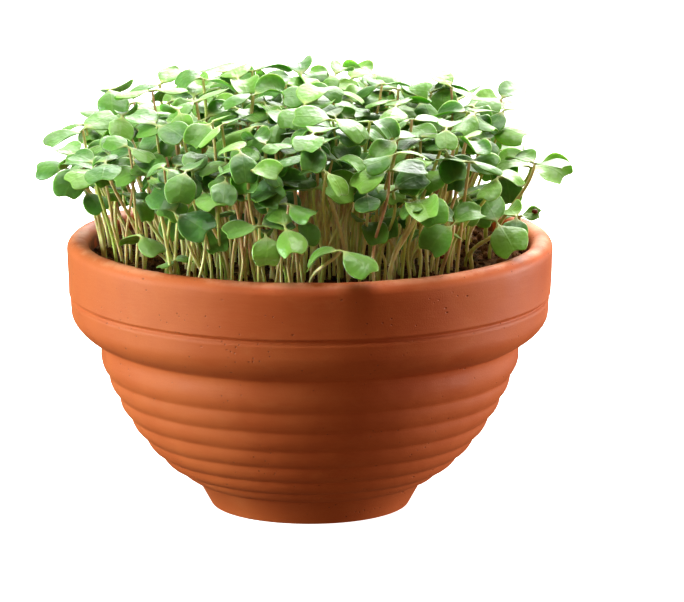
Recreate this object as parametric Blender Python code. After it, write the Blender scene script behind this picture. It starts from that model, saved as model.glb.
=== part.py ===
"""Kale microgreens growing in a ribbed terracotta bowl.

Metres, +Z up. The origin is the middle of the foot's underside, on the surface that the bowl stands on.
The bowl and the soil are turned about Z. Each sprout grew as one piece, so it is one closed body: a stem,
two stalks and two notched seed leaves. The front of the bowl faces -Y.
"""

import math
from dataclasses import dataclass

import bmesh
import bpy
import numpy as np

MM = 0.001
UP = np.array([0.0, 0.0, 1.0])

# Bowl: one piece of unglazed terracotta
BOWL_HEIGHT = 112.0 * MM
RIM_RADIUS = 100.0 * MM
RIM_WALL = 9.5 * MM
RIM_ROUNDING = 4.6 * MM
COLLAR_HEIGHT = 43.0 * MM
COLLAR_OVERHANG = 14.0 * MM
COLLAR_CHAMFER = 13.0 * MM
COLLAR_TAPER = 0.8 * MM
GROOVE_DROP = 23.5 * MM
GROOVE_STEP = 1.0 * MM
GROOVE_WIDTH = 1.2 * MM
NECK_HEIGHT = 4.0 * MM
FOOT_RADIUS = 46.4 * MM
FOOT_HEIGHT = 10.4 * MM
FOOT_TAPER = 5.2 * MM
DRAIN_RADIUS = 7.0 * MM
BELLY_INSET = 12.0 * MM
BELLY_RISE = 16.2 * MM
RIB_COUNT = 7
RIB_BULGE = 1.15 * MM
RIB_POINTS = 3
BASE_THICKNESS = 12.0 * MM
CAVITY_FLOOR_RADIUS = 30.0 * MM
CAVITY_INSET = 20.5 * MM
CAVITY_RISE = 8.0 * MM
CAVITY_POINTS = 9
TURNED_SEGMENTS = 40

# Soil: fills the cavity, and its crumbly top lies under the rim
SOIL_DROP = 8.0 * MM
SOIL_RELIEF = 1.4 * MM
SOIL_RINGS = 7
FIT_GAP = 0.3 * MM

# Sprouts
SOWN_COUNT = 43
BED_INSET = 13.0 * MM
BED_SHIFT = -3.0 * MM
BED_TURN = math.radians(112.0)
ROOT_DEPTH = 9.0 * MM
ROOT_COLLAR = 1.0 * MM
CANOPY_HEIGHT = 70.0 * MM
DOME_DROP = 14.0 * MM
TIER_COUNT = 3
TIER_STEP = 8.5 * MM
EDGE_LEAN = 18.0 * MM
LEAN_SPREAD = 5.0 * MM
EDGE_FREEDOM = 0.35
GROWTH_TRIES = 100
PLENTY_OF_ROOM = 6.0 * MM
STEM_MARKERS = 20
STEM_RADIUS = 0.95 * MM
STALK_RADIUS = 0.75 * MM
STALK_LENGTH = 4.2 * MM
LEAF_LENGTH = 11.8 * MM
LEAF_WIDTH = 15.8 * MM
LEAF_THICKNESS = 0.7 * MM
NOTCH_SHARE = 0.84
LOBE_SHARE = 0.93
BLADE_WIDEST = 0.58
BLADE_ROUNDNESS = 2.2
BLADE_FULLNESS = 0.6
STEM_RINGS = 3
STALK_SECTIONS = 1
LEAF_SECTIONS = 4
STEM_BEND = 0.4
STEM_END_LEAN = 0.12
STEM_END_RISE = 0.3
STEM_END_SHARE = 0.35
JOINT_LENGTH = 0.85 * MM
JOINT_HALF_WIDTH = 0.76 * MM
JOINT_SWELL = 1.2
GOLDEN_ANGLE = math.radians(137.508)
LIGHT_FROM = math.radians(-100.0)
LIGHT_TILT = 14.0
SEED = 41

# Sprouts that stand out at the edge: name, root (a share of the bed's radius and an angle), how far the neck
# stands from the root along X, Y and up from the soil, the first leaf's heading, the leaves' size, and how far
# they are tilted towards the light
EDGE_SPROUTS = (
    ("sprout_over_left_rim", 1.05, 186.0, (-13.0, 5.0, 43.0), 118.0, 1.0, 20.0),
    ("sprout_over_right_rim", 1.02, 16.0, (18.0, -20.0, 35.0), -12.0, 1.05, 25.0),
    ("sprout_arching_right", 0.96, -22.0, (9.0, -12.0, 19.0), -38.0, 1.10, 38.0),
    ("sprout_small_right", 1.05, 3.0, (8.0, -6.0, 17.0), 8.0, 0.55, 20.0),
    ("sprout_over_front_rim", 0.98, -93.0, (-1.0, -14.0, 29.0), -84.0, 1.0, 40.0),
    ("sprout_over_back_rim", 0.97, 88.0, (2.0, 13.0, 44.0), 84.0, 1.0, 0.0),
    ("sprout_low_front", 1.01, -133.0, (1.0, -2.0, 8.0), -160.0, 0.5, 14.0),
    ("sprout_front_left", 1.0, -119.0, (-11.0, -10.0, 32.0), -35.0, 1.08, 52.0),
    ("sprout_front_butterfly", 0.95, -104.0, (-3.0, -9.0, 39.0), -8.0, 1.0, 55.0),
    ("sprout_front_middle", 0.97, -84.0, (-4.0, -5.0, 42.0), 12.0, 1.12, 48.0),
    ("sprout_front_right", 0.97, -66.0, (6.0, -9.0, 40.0), 172.0, 1.05, 50.0),
    ("sprout_front_far_right", 1.0, -44.0, (5.0, -15.0, 28.0), 20.0, 0.95, 52.0),
)

# How much a sprout may vary: stalk rise, blade spread, droop and roll in degrees, and size as a share
RISE_RANGE = (35, 60)
SPREAD_RANGE = (0, 25)
DROOP_RANGE = (-40, 0)
ROLL_RANGE = (-22, 22)
SIZE_RANGE = (0.88, 1.08)
LEAF_SIZE_RANGE = (0.92, 1.08)
HEADING_SPREAD = 0.2
ROOT_SPREAD = 1.5 * MM

# Base colours
TERRACOTTA = (0.52, 0.17, 0.065)
SOIL_BROWN = (0.035, 0.018, 0.010)
LEAF_GREEN = (0.13, 0.30, 0.05)
HUSK_RED = (0.35, 0.05, 0.02)

# Seed husks: empty coats lying in dimples of the soil, each at a share of the bed's radius and an angle
HUSK_LENGTH = 2.6 * MM
HUSK_SLIMMING = 0.26 * MM
HUSK_SINK = 0.4 * MM
HUSK_SPOTS = ((0.97, -49.0), (0.98, -133.0), (1.02, 12.0))


@dataclass(frozen=True)
class Seedling:
    """Where a sprout starts and is headed, how freely it turns and leans, and its own seed number."""

    name: str
    root: np.ndarray
    neck: np.ndarray
    heading: float
    freedom: float
    size: float
    tilt: float
    seed: int


@dataclass(frozen=True)
class Leaf:
    """One seed leaf: which way it points, and how its stalk and blade rise, droop and roll."""

    heading: float
    rise: float
    spread: float
    droop: float
    roll: float
    size: float


@dataclass(frozen=True)
class Sprout:
    """One seedling: where it is rooted, where its stem ends, and its two leaves."""

    name: str
    root: tuple
    neck: tuple
    leaves: tuple


def bezier(start, control, end, count):
    """Points of a quadratic curve, both ends included."""
    t = np.linspace(0.0, 1.0, count)[:, None]
    start, control, end = np.array(start), np.array(control), np.array(end)
    return (1 - t) ** 2 * start + 2 * t * (1 - t) * control + t**2 * end


def arc(centre, radius, first, last, count):
    """Points of a circular arc, from the first angle to the last, in degrees."""
    angles = np.radians(np.linspace(first, last, count))
    return np.array(centre) + radius * np.stack([np.cos(angles), np.sin(angles)], axis=1)


def normals_2d(points):
    """Unit normals on the right-hand side of a run of (radius, height) points."""
    along = np.gradient(points, axis=0)
    along /= np.linalg.norm(along, axis=1)[:, None]
    return np.stack([along[:, 1], -along[:, 0]], axis=1)


def ribbed_body():
    """The ribbed belly between foot and neck: equal round ribs that meet in sharp valleys."""
    top = (RIM_RADIUS - COLLAR_OVERHANG, BOWL_HEIGHT - COLLAR_HEIGHT - NECK_HEIGHT)
    bottom = (FOOT_RADIUS, FOOT_HEIGHT)
    belly = (top[0] - BELLY_INSET, bottom[1] + BELLY_RISE)
    fine = bezier(bottom, belly, top, 400)
    walked = np.concatenate([[0.0], np.cumsum(np.linalg.norm(np.diff(fine, axis=0), axis=1))])
    steps = RIB_COUNT * (RIB_POINTS + 1)
    shares = np.linspace(0.0, 1.0, steps + 1)
    wanted = shares * walked[-1]
    spine = np.stack([np.interp(wanted, walked, fine[:, k]) for k in (0, 1)], axis=1)
    bulge = RIB_BULGE * np.abs(np.sin(math.pi * RIB_COUNT * shares))
    return spine + normals_2d(spine) * bulge[:, None]


def collar():
    """The heavy collar above a short neck: chamfered underside, thin groove and rounded rim."""
    low = BOWL_HEIGHT - COLLAR_HEIGHT
    groove = BOWL_HEIGHT - GROOVE_DROP
    band = RIM_RADIUS - GROOVE_STEP - COLLAR_TAPER
    shoulder = low + COLLAR_CHAMFER
    underside = bezier((RIM_RADIUS - COLLAR_OVERHANG + GROOVE_STEP, low + GROOVE_STEP),
                       (band - GROOVE_STEP, low + COLLAR_CHAMFER / 2), (band, shoulder), 5)
    groove_edges = [(band + COLLAR_TAPER / 2, groove - GROOVE_WIDTH),
                    (band - GROOVE_WIDTH / 2, groove),
                    (RIM_RADIUS - COLLAR_TAPER, groove + GROOVE_WIDTH)]
    crest = BOWL_HEIGHT - RIM_ROUNDING
    outer = arc((RIM_RADIUS - RIM_ROUNDING, crest), RIM_ROUNDING, 0, 90, 4)
    inner = arc((RIM_RADIUS - RIM_WALL + RIM_ROUNDING, crest), RIM_ROUNDING, 90, 180, 4)
    return np.concatenate([underside, groove_edges, outer, inner])


def cavity():
    """The inside wall from just under the rim down to the edge of the inner floor."""
    mouth = (RIM_RADIUS - RIM_WALL, BOWL_HEIGHT - 2 * RIM_ROUNDING)
    floor = (CAVITY_FLOOR_RADIUS, BASE_THICKNESS)
    return bezier(mouth, (mouth[0] - CAVITY_INSET, floor[1] + CAVITY_RISE), floor, CAVITY_POINTS)


def turned(name, profile, segments, closed):
    """A mesh turned about Z from (radius, height) points: a closed loop, or a run with a point on the axis at
    each end. The profile runs with the material on its left."""
    mesh = bmesh.new()
    angles = [2 * math.pi * k / segments for k in range(segments)]
    rings = []
    for radius, height in profile:
        if radius < 1e-9:
            rings.append([mesh.verts.new((0.0, 0.0, height))] * segments)
        else:
            rings.append([mesh.verts.new((radius * math.cos(a), radius * math.sin(a), height))
                          for a in angles])
    pairs = list(zip(rings, rings[1:] + rings[:1])) if closed else list(zip(rings, rings[1:]))
    for low, high in pairs:
        for k in range(segments):
            corners = [low[k], low[(k + 1) % segments], high[(k + 1) % segments], high[k]]
            mesh.faces.new(list(dict.fromkeys(corners)))
    bmesh.ops.recalc_face_normals(mesh, faces=mesh.faces)
    return finished(name, mesh)


def finished(name, mesh):
    """The bmesh as an object in the scene, shaded smooth but for its sharp edges."""
    data = bpy.data.meshes.new(name)
    mesh.to_mesh(data)
    mesh.free()
    data.shade_smooth()
    data.set_sharp_from_angle(angle=math.radians(35))
    placed = bpy.data.objects.new(name, data)
    bpy.context.scene.collection.objects.link(placed)
    return placed


def finish_of(name, colour, roughness):
    """A Principled material."""
    made = bpy.data.materials.new(name)
    made.use_nodes = True
    shader = made.node_tree.nodes["Principled BSDF"]
    shader.inputs["Base Color"].default_value = (*colour, 1.0)
    shader.inputs["Roughness"].default_value = roughness
    shader.inputs["Metallic"].default_value = 0.0
    return made


def build_bowl():
    """The bowl: foot, ribbed belly, collar, rim, cavity and drain hole."""
    foot = [(DRAIN_RADIUS, 0.0), (FOOT_RADIUS - FOOT_TAPER, 0.0)]
    profile = np.concatenate([foot, ribbed_body(), collar(), cavity(), [(DRAIN_RADIUS, BASE_THICKNESS)]])
    bowl = turned("terracotta_bowl", profile, TURNED_SEGMENTS, closed=True)
    bowl.data.materials.append(finish_of("terracotta", TERRACOTTA, 0.75))
    return bowl


def soil_level():
    """The height that the soil is levelled to."""
    return BOWL_HEIGHT - SOIL_DROP


def soil_relief(x, y):
    """How far the crumbly top stands above or below its level at a point: three crossing waves."""
    wave = np.sin(x / (9.0 * MM)) * np.cos(y / (11.0 * MM)) + np.sin((x + y) / (5.0 * MM))
    return SOIL_RELIEF * 0.5 * (0.6 * wave + 0.4 * np.cos((x - 2 * y) / (14.0 * MM)))


def soil_side():
    """The side of the soil, up from its bottom to its top edge, a gap away from the bowl's own facets."""
    wall = cavity()[::-1]
    inset = wall + normals_2d(wall) * -FIT_GAP
    inset[0] = (CAVITY_FLOOR_RADIUS, BASE_THICKNESS + FIT_GAP)
    below = inset[inset[:, 1] < soil_level() - SOIL_RELIEF]
    edge = np.interp(soil_level(), inset[:, 1], inset[:, 0])
    return np.vstack([below, (edge, soil_level())])


def build_soil(sprouts, husks):
    """The soil: the cavity's shape, a crumbly top, a root hole for each sprout and a dimple for each husk."""
    side = soil_side()
    edge = side[-1][0]
    top = [(edge * (1 - k / SOIL_RINGS), soil_level()) for k in range(1, SOIL_RINGS + 1)]
    profile = [(0.0, BASE_THICKNESS + FIT_GAP), *map(tuple, side), *top[:-1], (0.0, soil_level())]
    soil = turned("potting_soil", profile, TURNED_SEGMENTS, closed=False)
    for vertex in soil.data.vertices:
        inside = vertex.co.xy.length < edge * 0.99
        if inside and vertex.co.z > soil_level() - 1e-6:
            vertex.co.z += float(soil_relief(vertex.co.x, vertex.co.y))
    soil.data.materials.append(finish_of("potting_soil", SOIL_BROWN, 0.95))
    cutter = root_cutters(sprouts, husks)
    holes = soil.modifiers.new("root_holes", "BOOLEAN")
    holes.operation = "DIFFERENCE"
    holes.object = cutter
    return soil


def hexagon(centre, along, across, radius):
    """Six points round a centre, the first of them at 120 degrees from the along direction."""
    angles = [math.radians(a) for a in (120, 180, 240, 300, 0, 60)]
    return [centre + radius * (math.cos(a) * along + math.sin(a) * across) for a in angles]


def unit(vector):
    """The vector at length one."""
    return vector / np.linalg.norm(vector)


def ground_direction(angle):
    """The level direction at an angle from +X."""
    return np.array([math.cos(angle), math.sin(angle), 0.0])


def root_top():
    """The height at which stems start to lean: just above the highest crumbs."""
    return soil_level() + SOIL_RELIEF + ROOT_COLLAR


def root_cutters(sprouts, husks):
    """One mesh of all that the soil makes room for: a six-sided hole for each buried stem, and each husk."""
    mesh = bmesh.new()
    for sprout in sprouts:
        along = ground_direction(sprout.leaves[0].heading)
        across = np.cross(UP, along)
        radius = STEM_RADIUS + FIT_GAP / math.cos(math.radians(30))
        rings = []
        for height in (soil_level() - ROOT_DEPTH - FIT_GAP, root_top()):
            centre = np.array([*sprout.root, height])
            rings.append([mesh.verts.new(p) for p in hexagon(centre, along, across, radius)])
        close_tube(mesh, rings)
    for centre in husks:
        husk_shape(mesh, centre, HUSK_LENGTH / 2 + FIT_GAP)
    bmesh.ops.recalc_face_normals(mesh, faces=mesh.faces)
    cutter = finished("soil_cutter", mesh)
    cutter.hide_render = True
    cutter.display_type = "WIRE"
    return cutter


def close_tube(mesh, rings):
    """Faces between rings of equal length, with a cap on each end."""
    for low, high in zip(rings, rings[1:]):
        bridge(mesh, low, high)
    mesh.faces.new(rings[0])
    mesh.faces.new(rings[-1])


def bridge(mesh, low, high, leave_out=()):
    """Faces between two rings of vertices, but for the places left out."""
    count = len(low)
    for k in range(count):
        if k not in leave_out:
            mesh.faces.new([low[k], low[(k + 1) % count], high[(k + 1) % count], high[k]])


def husk_shape(mesh, centre, half):
    """A small round seed coat, longer than it is wide."""
    made = bmesh.ops.create_icosphere(mesh, subdivisions=1, radius=1.0)
    for vertex in made["verts"]:
        vertex.co.x = centre[0] + vertex.co.x * half
        vertex.co.y = centre[1] + vertex.co.y * (half - HUSK_SLIMMING)
        vertex.co.z = centre[2] + vertex.co.z * (half - HUSK_SLIMMING)


def build_husks(centres):
    """The seed husks."""
    dry = finish_of("seed_husk", HUSK_RED, 0.5)
    for number, centre in enumerate(centres, start=1):
        mesh = bmesh.new()
        husk_shape(mesh, centre, HUSK_LENGTH / 2)
        finished(f"seed_husk_{number}", mesh).data.materials.append(dry)


def husk_centres():
    """Where the husks lie, on the soil's top."""
    centres = []
    for share, degrees in HUSK_SPOTS:
        x, y = (share * bed_radius() * ground_direction(math.radians(degrees)))[:2]
        height = soil_level() + float(soil_relief(x, y)) + HUSK_LENGTH / 2 - HUSK_SINK
        centres.append((x, y, height))
    return centres


def bed_radius():
    """The radius of the sown bed: a bare ring is left inside the rim."""
    return RIM_RADIUS - RIM_WALL - BED_INSET


def leaf_path(neck, leaf):
    """Middle points and directions of one stalk and blade, from the neck to the notch.

    The path starts steep, levels out over the stalk and droops over the blade. Its steepness changes evenly
    with the distance walked.
    """
    stalk = STALK_LENGTH * leaf.size
    blade = LEAF_LENGTH * NOTCH_SHARE * leaf.size
    level = ground_direction(leaf.heading)
    point = np.array(neck)
    stations = [(0.0, leaf.rise)]
    for k in range(1, STALK_SECTIONS + 1):
        share = k / STALK_SECTIONS
        stations.append((stalk * share, leaf.rise + (leaf.spread - leaf.rise) * share))
    for k in range(1, LEAF_SECTIONS + 1):
        share = k / LEAF_SECTIONS
        stations.append((stalk + blade * share, leaf.spread + (leaf.droop - leaf.spread) * share))
    path = []
    walked = 0.0
    for distance, steepness in stations:
        tangent = math.cos(steepness) * level + math.sin(steepness) * UP
        point = point + (distance - walked) * tangent
        walked = distance
        path.append((point, tangent, distance))
    return path


def blade_half_width(share):
    """Half the blade's width at a share of its length: widest past the middle, still wide at the lobes."""
    rounded = max(0.0, 1 - abs(1 - share / BLADE_WIDEST) ** BLADE_ROUNDNESS)
    return LEAF_WIDTH / 2 * rounded**BLADE_FULLNESS


def leaf_sections(neck, leaf, inwards):
    """Six-point sections of a stalk and blade: three points above and three below.

    Blade points beside the middle run ahead of it towards the tip, which makes the notch. The sections run
    outwards, or from the tip inwards where that is asked for, and their across side stays the same.
    """
    stalk = STALK_LENGTH * leaf.size
    blade = LEAF_LENGTH * leaf.size
    side = np.cross(UP, ground_direction(leaf.heading)) * (-1 if inwards else 1)
    sections = []
    for point, tangent, distance in leaf_path(neck, leaf)[1:]:
        share = max(0.0, (distance - stalk) / (blade * NOTCH_SHARE))
        half = max(STALK_RADIUS, blade_half_width(share) * leaf.size)
        thick = STALK_RADIUS + (LEAF_THICKNESS / 2 - STALK_RADIUS) * min(1.0, 3 * share)
        roll = leaf.roll * min(1.0, share + 0.3) * (-1 if inwards else 1)
        upright = unit(np.cross(tangent, np.cross(UP, tangent)))
        across = math.cos(roll) * side + math.sin(roll) * upright
        above = unit(upright - across * (upright @ across))
        ahead = tangent * (LOBE_SHARE - NOTCH_SHARE) * blade * share
        right, left = point + across * half + ahead, point - across * half + ahead
        sections.append([right + above * thick, point + above * thick, left + above * thick,
                         left - above * thick, point - above * thick, right - above * thick])
    return sections[::-1] if inwards else sections


def stem_path(sprout):
    """Middle points of the stem, from its buried end to just under the neck: straight up out of the soil, and
    then a cubic curve that ends steeply."""
    root, neck = np.array([*sprout.root, root_top()]), np.array(sprout.neck)
    rise = neck[2] - root[2]
    bend = root + UP * rise * STEM_BEND
    reach = neck - (neck - root) * np.array([STEM_END_LEAN, STEM_END_LEAN, STEM_END_RISE])
    points = [np.array([*sprout.root, soil_level() - ROOT_DEPTH]), root]
    for k in range(1, STEM_RINGS + 1):
        t = k / (STEM_RINGS + STEM_END_SHARE)
        points.append((1 - t) ** 3 * root + 3 * t * (1 - t) ** 2 * bend
                      + 3 * t**2 * (1 - t) * reach + t**3 * neck)
    return points


def neck_sections(sprout):
    """The two sections on either side of the stem's end, where the two stalks meet."""
    first, second = (ground_direction(leaf.heading) for leaf in sprout.leaves)
    along = unit(second - first)
    side = np.cross(UP, along)
    centre = np.array(sprout.neck)
    sections = []
    for end in (-1, 1):
        point = centre + along * JOINT_LENGTH * end
        right, left = point + side * JOINT_HALF_WIDTH, point - side * JOINT_HALF_WIDTH
        over = UP * STEM_RADIUS
        sections.append([right + over, point + over, left + over,
                         left - over, point - over * JOINT_SWELL, right - over])
    return sections, along


def build_sprout(sprout):
    """One closed sprout: a band of sections from leaf tip to leaf tip, and the stem below its middle."""
    mesh = bmesh.new()
    middle, along = neck_sections(sprout)
    outline = (leaf_sections(sprout.neck, sprout.leaves[0], inwards=True) + middle
               + leaf_sections(sprout.neck, sprout.leaves[1], inwards=False))
    rings = [[mesh.verts.new(p) for p in section] for section in outline]
    junction = len(leaf_sections(sprout.neck, sprout.leaves[0], inwards=True))
    for number, (low, high) in enumerate(zip(rings, rings[1:])):
        bridge(mesh, low, high, leave_out=(3, 4) if number == junction else ())
    mesh.faces.new(rings[0])
    mesh.faces.new(rings[-1])
    before, after = rings[junction], rings[junction + 1]
    opening = [before[3], before[4], before[5], after[5], after[4], after[3]]
    grow_stem(mesh, sprout, along, opening)
    bmesh.ops.recalc_face_normals(mesh, faces=mesh.faces)
    return finished(sprout.name, mesh)


def grow_stem(mesh, sprout, along, opening):
    """The stem's rings, from the six-sided opening under the neck down to the buried end."""
    heading = sprout.leaves[0].heading
    points = stem_path(sprout)
    above = opening
    for number in range(len(points) - 1, -1, -1):
        if number < 2:
            forward, upright = -ground_direction(heading), UP
        else:
            forward = along
            upright = unit(points[number] - points[number - 1])
        forward = unit(forward - upright * (forward @ upright))
        across = np.cross(upright, forward) * -1
        ring = [mesh.verts.new(p) for p in hexagon(points[number], forward, across, STEM_RADIUS)]
        bridge(mesh, above, ring)
        above = ring
    mesh.faces.new(above)


def leaf_pair(draw, heading, size, tilt):
    """Two leaves that point nearly opposite ways, each with its own rise, droop and roll. Both are tilted
    towards the light: a leaf that points to it sinks, one that points away rises, and others roll."""
    leaves = []
    for turn in (0.0, math.pi):
        turned = heading + turn + draw.uniform(-HEADING_SPREAD, HEADING_SPREAD)
        sunk = tilt * math.cos(turned - LIGHT_FROM)
        leaves.append(Leaf(
            heading=turned,
            rise=math.radians(draw.uniform(*RISE_RANGE)) - sunk,
            spread=math.radians(draw.uniform(*SPREAD_RANGE)) - sunk,
            droop=math.radians(draw.uniform(*DROOP_RANGE)) - sunk,
            roll=math.radians(draw.uniform(*ROLL_RANGE)) + tilt * math.sin(turned - LIGHT_FROM),
            size=size * draw.uniform(*LEAF_SIZE_RANGE),
        ))
    return tuple(leaves)


def on_bed(share, angle):
    """A level point of the bed, at a share of its radius and an angle."""
    return ground_direction(angle) * bed_radius() * share + np.array([BED_SHIFT, 0.0, 0.0])


def planned_edge():
    """The seedlings that stand out at the edge, over the rim and low down."""
    plans = []
    for number, (name, share, degrees, offset, heading, size, tilt) in enumerate(EDGE_SPROUTS):
        root = on_bed(share, math.radians(degrees))
        neck = root + np.array(offset) * MM + UP * soil_level()
        plans.append(Seedling(name, root, neck, math.radians(heading), EDGE_FREEDOM, size,
                              math.radians(tilt), SEED - number - 1))
    return plans


def planned_bed():
    """The seedlings spread evenly over the bed in a sunflower's spiral, in tiers, so that neighbours' leaves
    pass over and under each other. Towards the edge they are shorter and lean out."""
    plans = []
    for number in range(SOWN_COUNT):
        draw = np.random.default_rng(SEED + number)
        share = math.sqrt((number + 0.5) / SOWN_COUNT)
        angle = number * GOLDEN_ANGLE + BED_TURN
        root = on_bed(share, angle) + np.append(draw.uniform(-ROOT_SPREAD, ROOT_SPREAD, 2), 0.0)
        height = CANOPY_HEIGHT - DOME_DROP * share**2 - TIER_STEP * (number % TIER_COUNT)
        neck = root + ground_direction(angle) * EDGE_LEAN * share**3 + UP * (soil_level() + height)
        name = f"sprout_{number + 1:02d}"
        plans.append(Seedling(name, root, neck, angle, math.pi, draw.uniform(*SIZE_RANGE),
                              math.radians(LIGHT_TILT), SEED + number))
    return plans


def along_line(start, end, count):
    """Evenly spaced points from one place to another."""
    return np.linspace(np.array(start), np.array(end), count)


def stem_markers(points):
    """Evenly spaced points over a stem."""
    places = np.linspace(0, len(points) - 1, STEM_MARKERS)
    return np.stack([np.interp(places, range(len(points)), points[:, k]) for k in range(3)], axis=1)


def markers(sprout):
    """Points spread over a sprout's stem and leaves, which stand for it where clearances are compared."""
    points = list(stem_markers(np.array(stem_path(sprout)[1:])))
    for leaf in sprout.leaves:
        for section in leaf_sections(sprout.neck, leaf, inwards=False):
            right, middle, left = section[:3]
            points += [right, (right + middle) / 2, middle, (middle + left) / 2, left]
    return np.array(points)


def clearance(sprout, standing):
    """The smallest distance from a sprout's markers to those that already stand, up to plenty of room."""
    own = markers(sprout)
    low, high = own.min(axis=0) - PLENTY_OF_ROOM, own.max(axis=0) + PLENTY_OF_ROOM
    near = standing[((standing > low) & (standing < high)).all(axis=1)]
    distances = np.linalg.norm(own[:, None] - near[None], axis=2)
    return min(PLENTY_OF_ROOM, distances.min(initial=PLENTY_OF_ROOM))


def grown(plan, standing):
    """The sprout that a seedling becomes: it leans and turns its leaves to where there is most room."""
    draw = np.random.default_rng(plan.seed)
    tries = []
    for attempt in range(GROWTH_TRIES):
        neck = plan.neck + draw.uniform(-1.0, 1.0, 3) * LEAN_SPREAD * min(1.0, plan.freedom)
        heading = plan.heading + draw.uniform(-1.0, 1.0) * plan.freedom
        leaves = leaf_pair(draw, heading, plan.size, plan.tilt)
        tried = Sprout(plan.name, tuple(plan.root[:2]), tuple(neck), leaves)
        tries.append((clearance(tried, standing), attempt, tried))
    return max(tries, key=lambda scored: scored[:2])[2]


def all_sprouts():
    """Every sprout, each clear of those grown before it and of where the later stems will stand."""
    plans = planned_edge() + planned_bed()
    later = [along_line(plan.root + UP * soil_level(), plan.neck, STEM_MARKERS) for plan in plans]
    sprouts, standing = [], np.zeros((0, 3))
    for number, plan in enumerate(plans):
        sprouts.append(grown(plan, np.concatenate([standing, *later[number + 1:]])))
        standing = np.concatenate([standing, markers(sprouts[-1])])
    return sprouts


def scene_cleared():
    """Takes every object out of the scene."""
    for found in list(bpy.data.objects):
        bpy.data.objects.remove(found, do_unlink=True)


def main():
    """Builds the whole object."""
    scene_cleared()
    sprouts = all_sprouts()
    husks = husk_centres()
    build_bowl()
    build_soil(sprouts, husks)
    green = finish_of("sprout_green", LEAF_GREEN, 0.42)
    for sprout in sprouts:
        build_sprout(sprout).data.materials.append(green)
    build_husks(husks)


main()
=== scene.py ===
"""Kale microgreens growing in a ribbed terracotta bowl: the looks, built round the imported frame.

Metres, +Z up, the origin in the middle of the foot's underside and the front of the bowl at -Y. The bowl
and the soil are turned about Z. Fifty-five sprouts stand where the frame has them, by the same rules of
growth, and the rest of the stand grows between them. Every surface is worked out as whole arrays.
"""

import sys
import logging
import math
from dataclasses import dataclass, replace
from enum import Enum

import bpy
import numpy as np
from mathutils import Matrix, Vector


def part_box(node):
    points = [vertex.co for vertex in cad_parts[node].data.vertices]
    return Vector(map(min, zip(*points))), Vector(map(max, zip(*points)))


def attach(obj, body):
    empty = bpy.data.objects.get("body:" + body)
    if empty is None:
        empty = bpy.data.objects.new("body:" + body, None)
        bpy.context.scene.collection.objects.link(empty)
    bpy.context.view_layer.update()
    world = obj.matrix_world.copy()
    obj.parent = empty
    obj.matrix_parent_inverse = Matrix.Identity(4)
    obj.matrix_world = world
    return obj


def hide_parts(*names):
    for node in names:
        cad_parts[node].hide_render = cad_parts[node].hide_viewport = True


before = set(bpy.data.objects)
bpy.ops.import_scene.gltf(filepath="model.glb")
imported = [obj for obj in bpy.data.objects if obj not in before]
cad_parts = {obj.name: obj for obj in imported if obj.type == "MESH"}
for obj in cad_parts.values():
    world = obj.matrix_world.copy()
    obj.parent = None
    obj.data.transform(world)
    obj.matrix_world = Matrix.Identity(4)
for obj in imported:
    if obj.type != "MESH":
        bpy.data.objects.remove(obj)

MM = 0.001
UP = np.array([0.0, 0.0, 1.0])
GOLDEN_ANGLE = math.radians(137.508)
LATTICE = 32
Array = np.ndarray
Socket = bpy.types.NodeSocket
Colour = tuple[float, float, float]

log = logging.getLogger("kale_bowl")


# ---------------------------------------------------------------- arrays, meshes and node trees


def level_directions(angles: Array) -> Array:
    """Level unit vectors at angles from +X.

    Args:
        angles: Angles in radians, of any shape.

    Returns:
        The vectors, with one more axis of length three.
    """
    return np.stack([np.cos(angles), np.sin(angles), np.zeros_like(angles)], axis=-1)


def steep_directions(headings: Array, steepness: Array) -> Array:
    """Unit vectors at angles above the level directions of some headings.

    Args:
        headings: Angles from +X, in radians.
        steepness: Angles above level, in radians, with one more axis: several for each heading.

    Returns:
        The vectors, with one more axis of length three than the steepness.
    """
    level = level_directions(headings)[..., None, :]
    return np.cos(steepness)[..., None] * level + np.sin(steepness)[..., None] * UP


def whole_turn(count: int) -> Array:
    """Evenly spaced angles round a whole turn, in radians."""
    return np.linspace(0.0, 2 * math.pi, count, endpoint=False)


def turned_grid(profile: Array, angles: Array) -> Array:
    """A turned surface or its normals: pairs of (radius, height), each carried round the axis.

    A pair (r, z) at the angle a gives (r cos a, r sin a, z).
    """
    return profile[:, None, :1] * level_directions(angles)[None] + UP * profile[:, None, 1:]


def unit(vectors: Array) -> Array:
    """The vectors along the last axis, each at length one."""
    return vectors / np.linalg.norm(vectors, axis=-1, keepdims=True)


def smooth_weights(places: Array, count: int) -> Array:
    """Weights that read a smooth run through evenly numbered points.

    Between points i and i+1, at the share t, a Catmull-Rom cubic takes the four nearest points. The run is
    carried on in a straight line past both ends, by two times the end point less the one beside it.

    Args:
        places: Where to read, from 0 to count - 1.
        count: How many points the run goes through.

    Returns:
        A matrix of one row for each place, to be multiplied by the points.
    """
    first = np.clip(np.floor(places).astype(int), 0, count - 2)
    t = places - first
    four = 0.5 * np.stack([-t + 2 * t**2 - t**3, 2 - 5 * t**2 + 3 * t**3,
                           t + 4 * t**2 - 3 * t**3, -t**2 + t**3], axis=1)
    padded = np.zeros((len(places), count + 2))
    for k in range(4):
        padded[np.arange(len(places)), first + k] += four[:, k]
    padded[:, 1] += 2 * padded[:, 0]
    padded[:, 2] -= padded[:, 0]
    padded[:, -2] += 2 * padded[:, -1]
    padded[:, -3] -= padded[:, -1]
    return padded[:, 1:-1]


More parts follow.
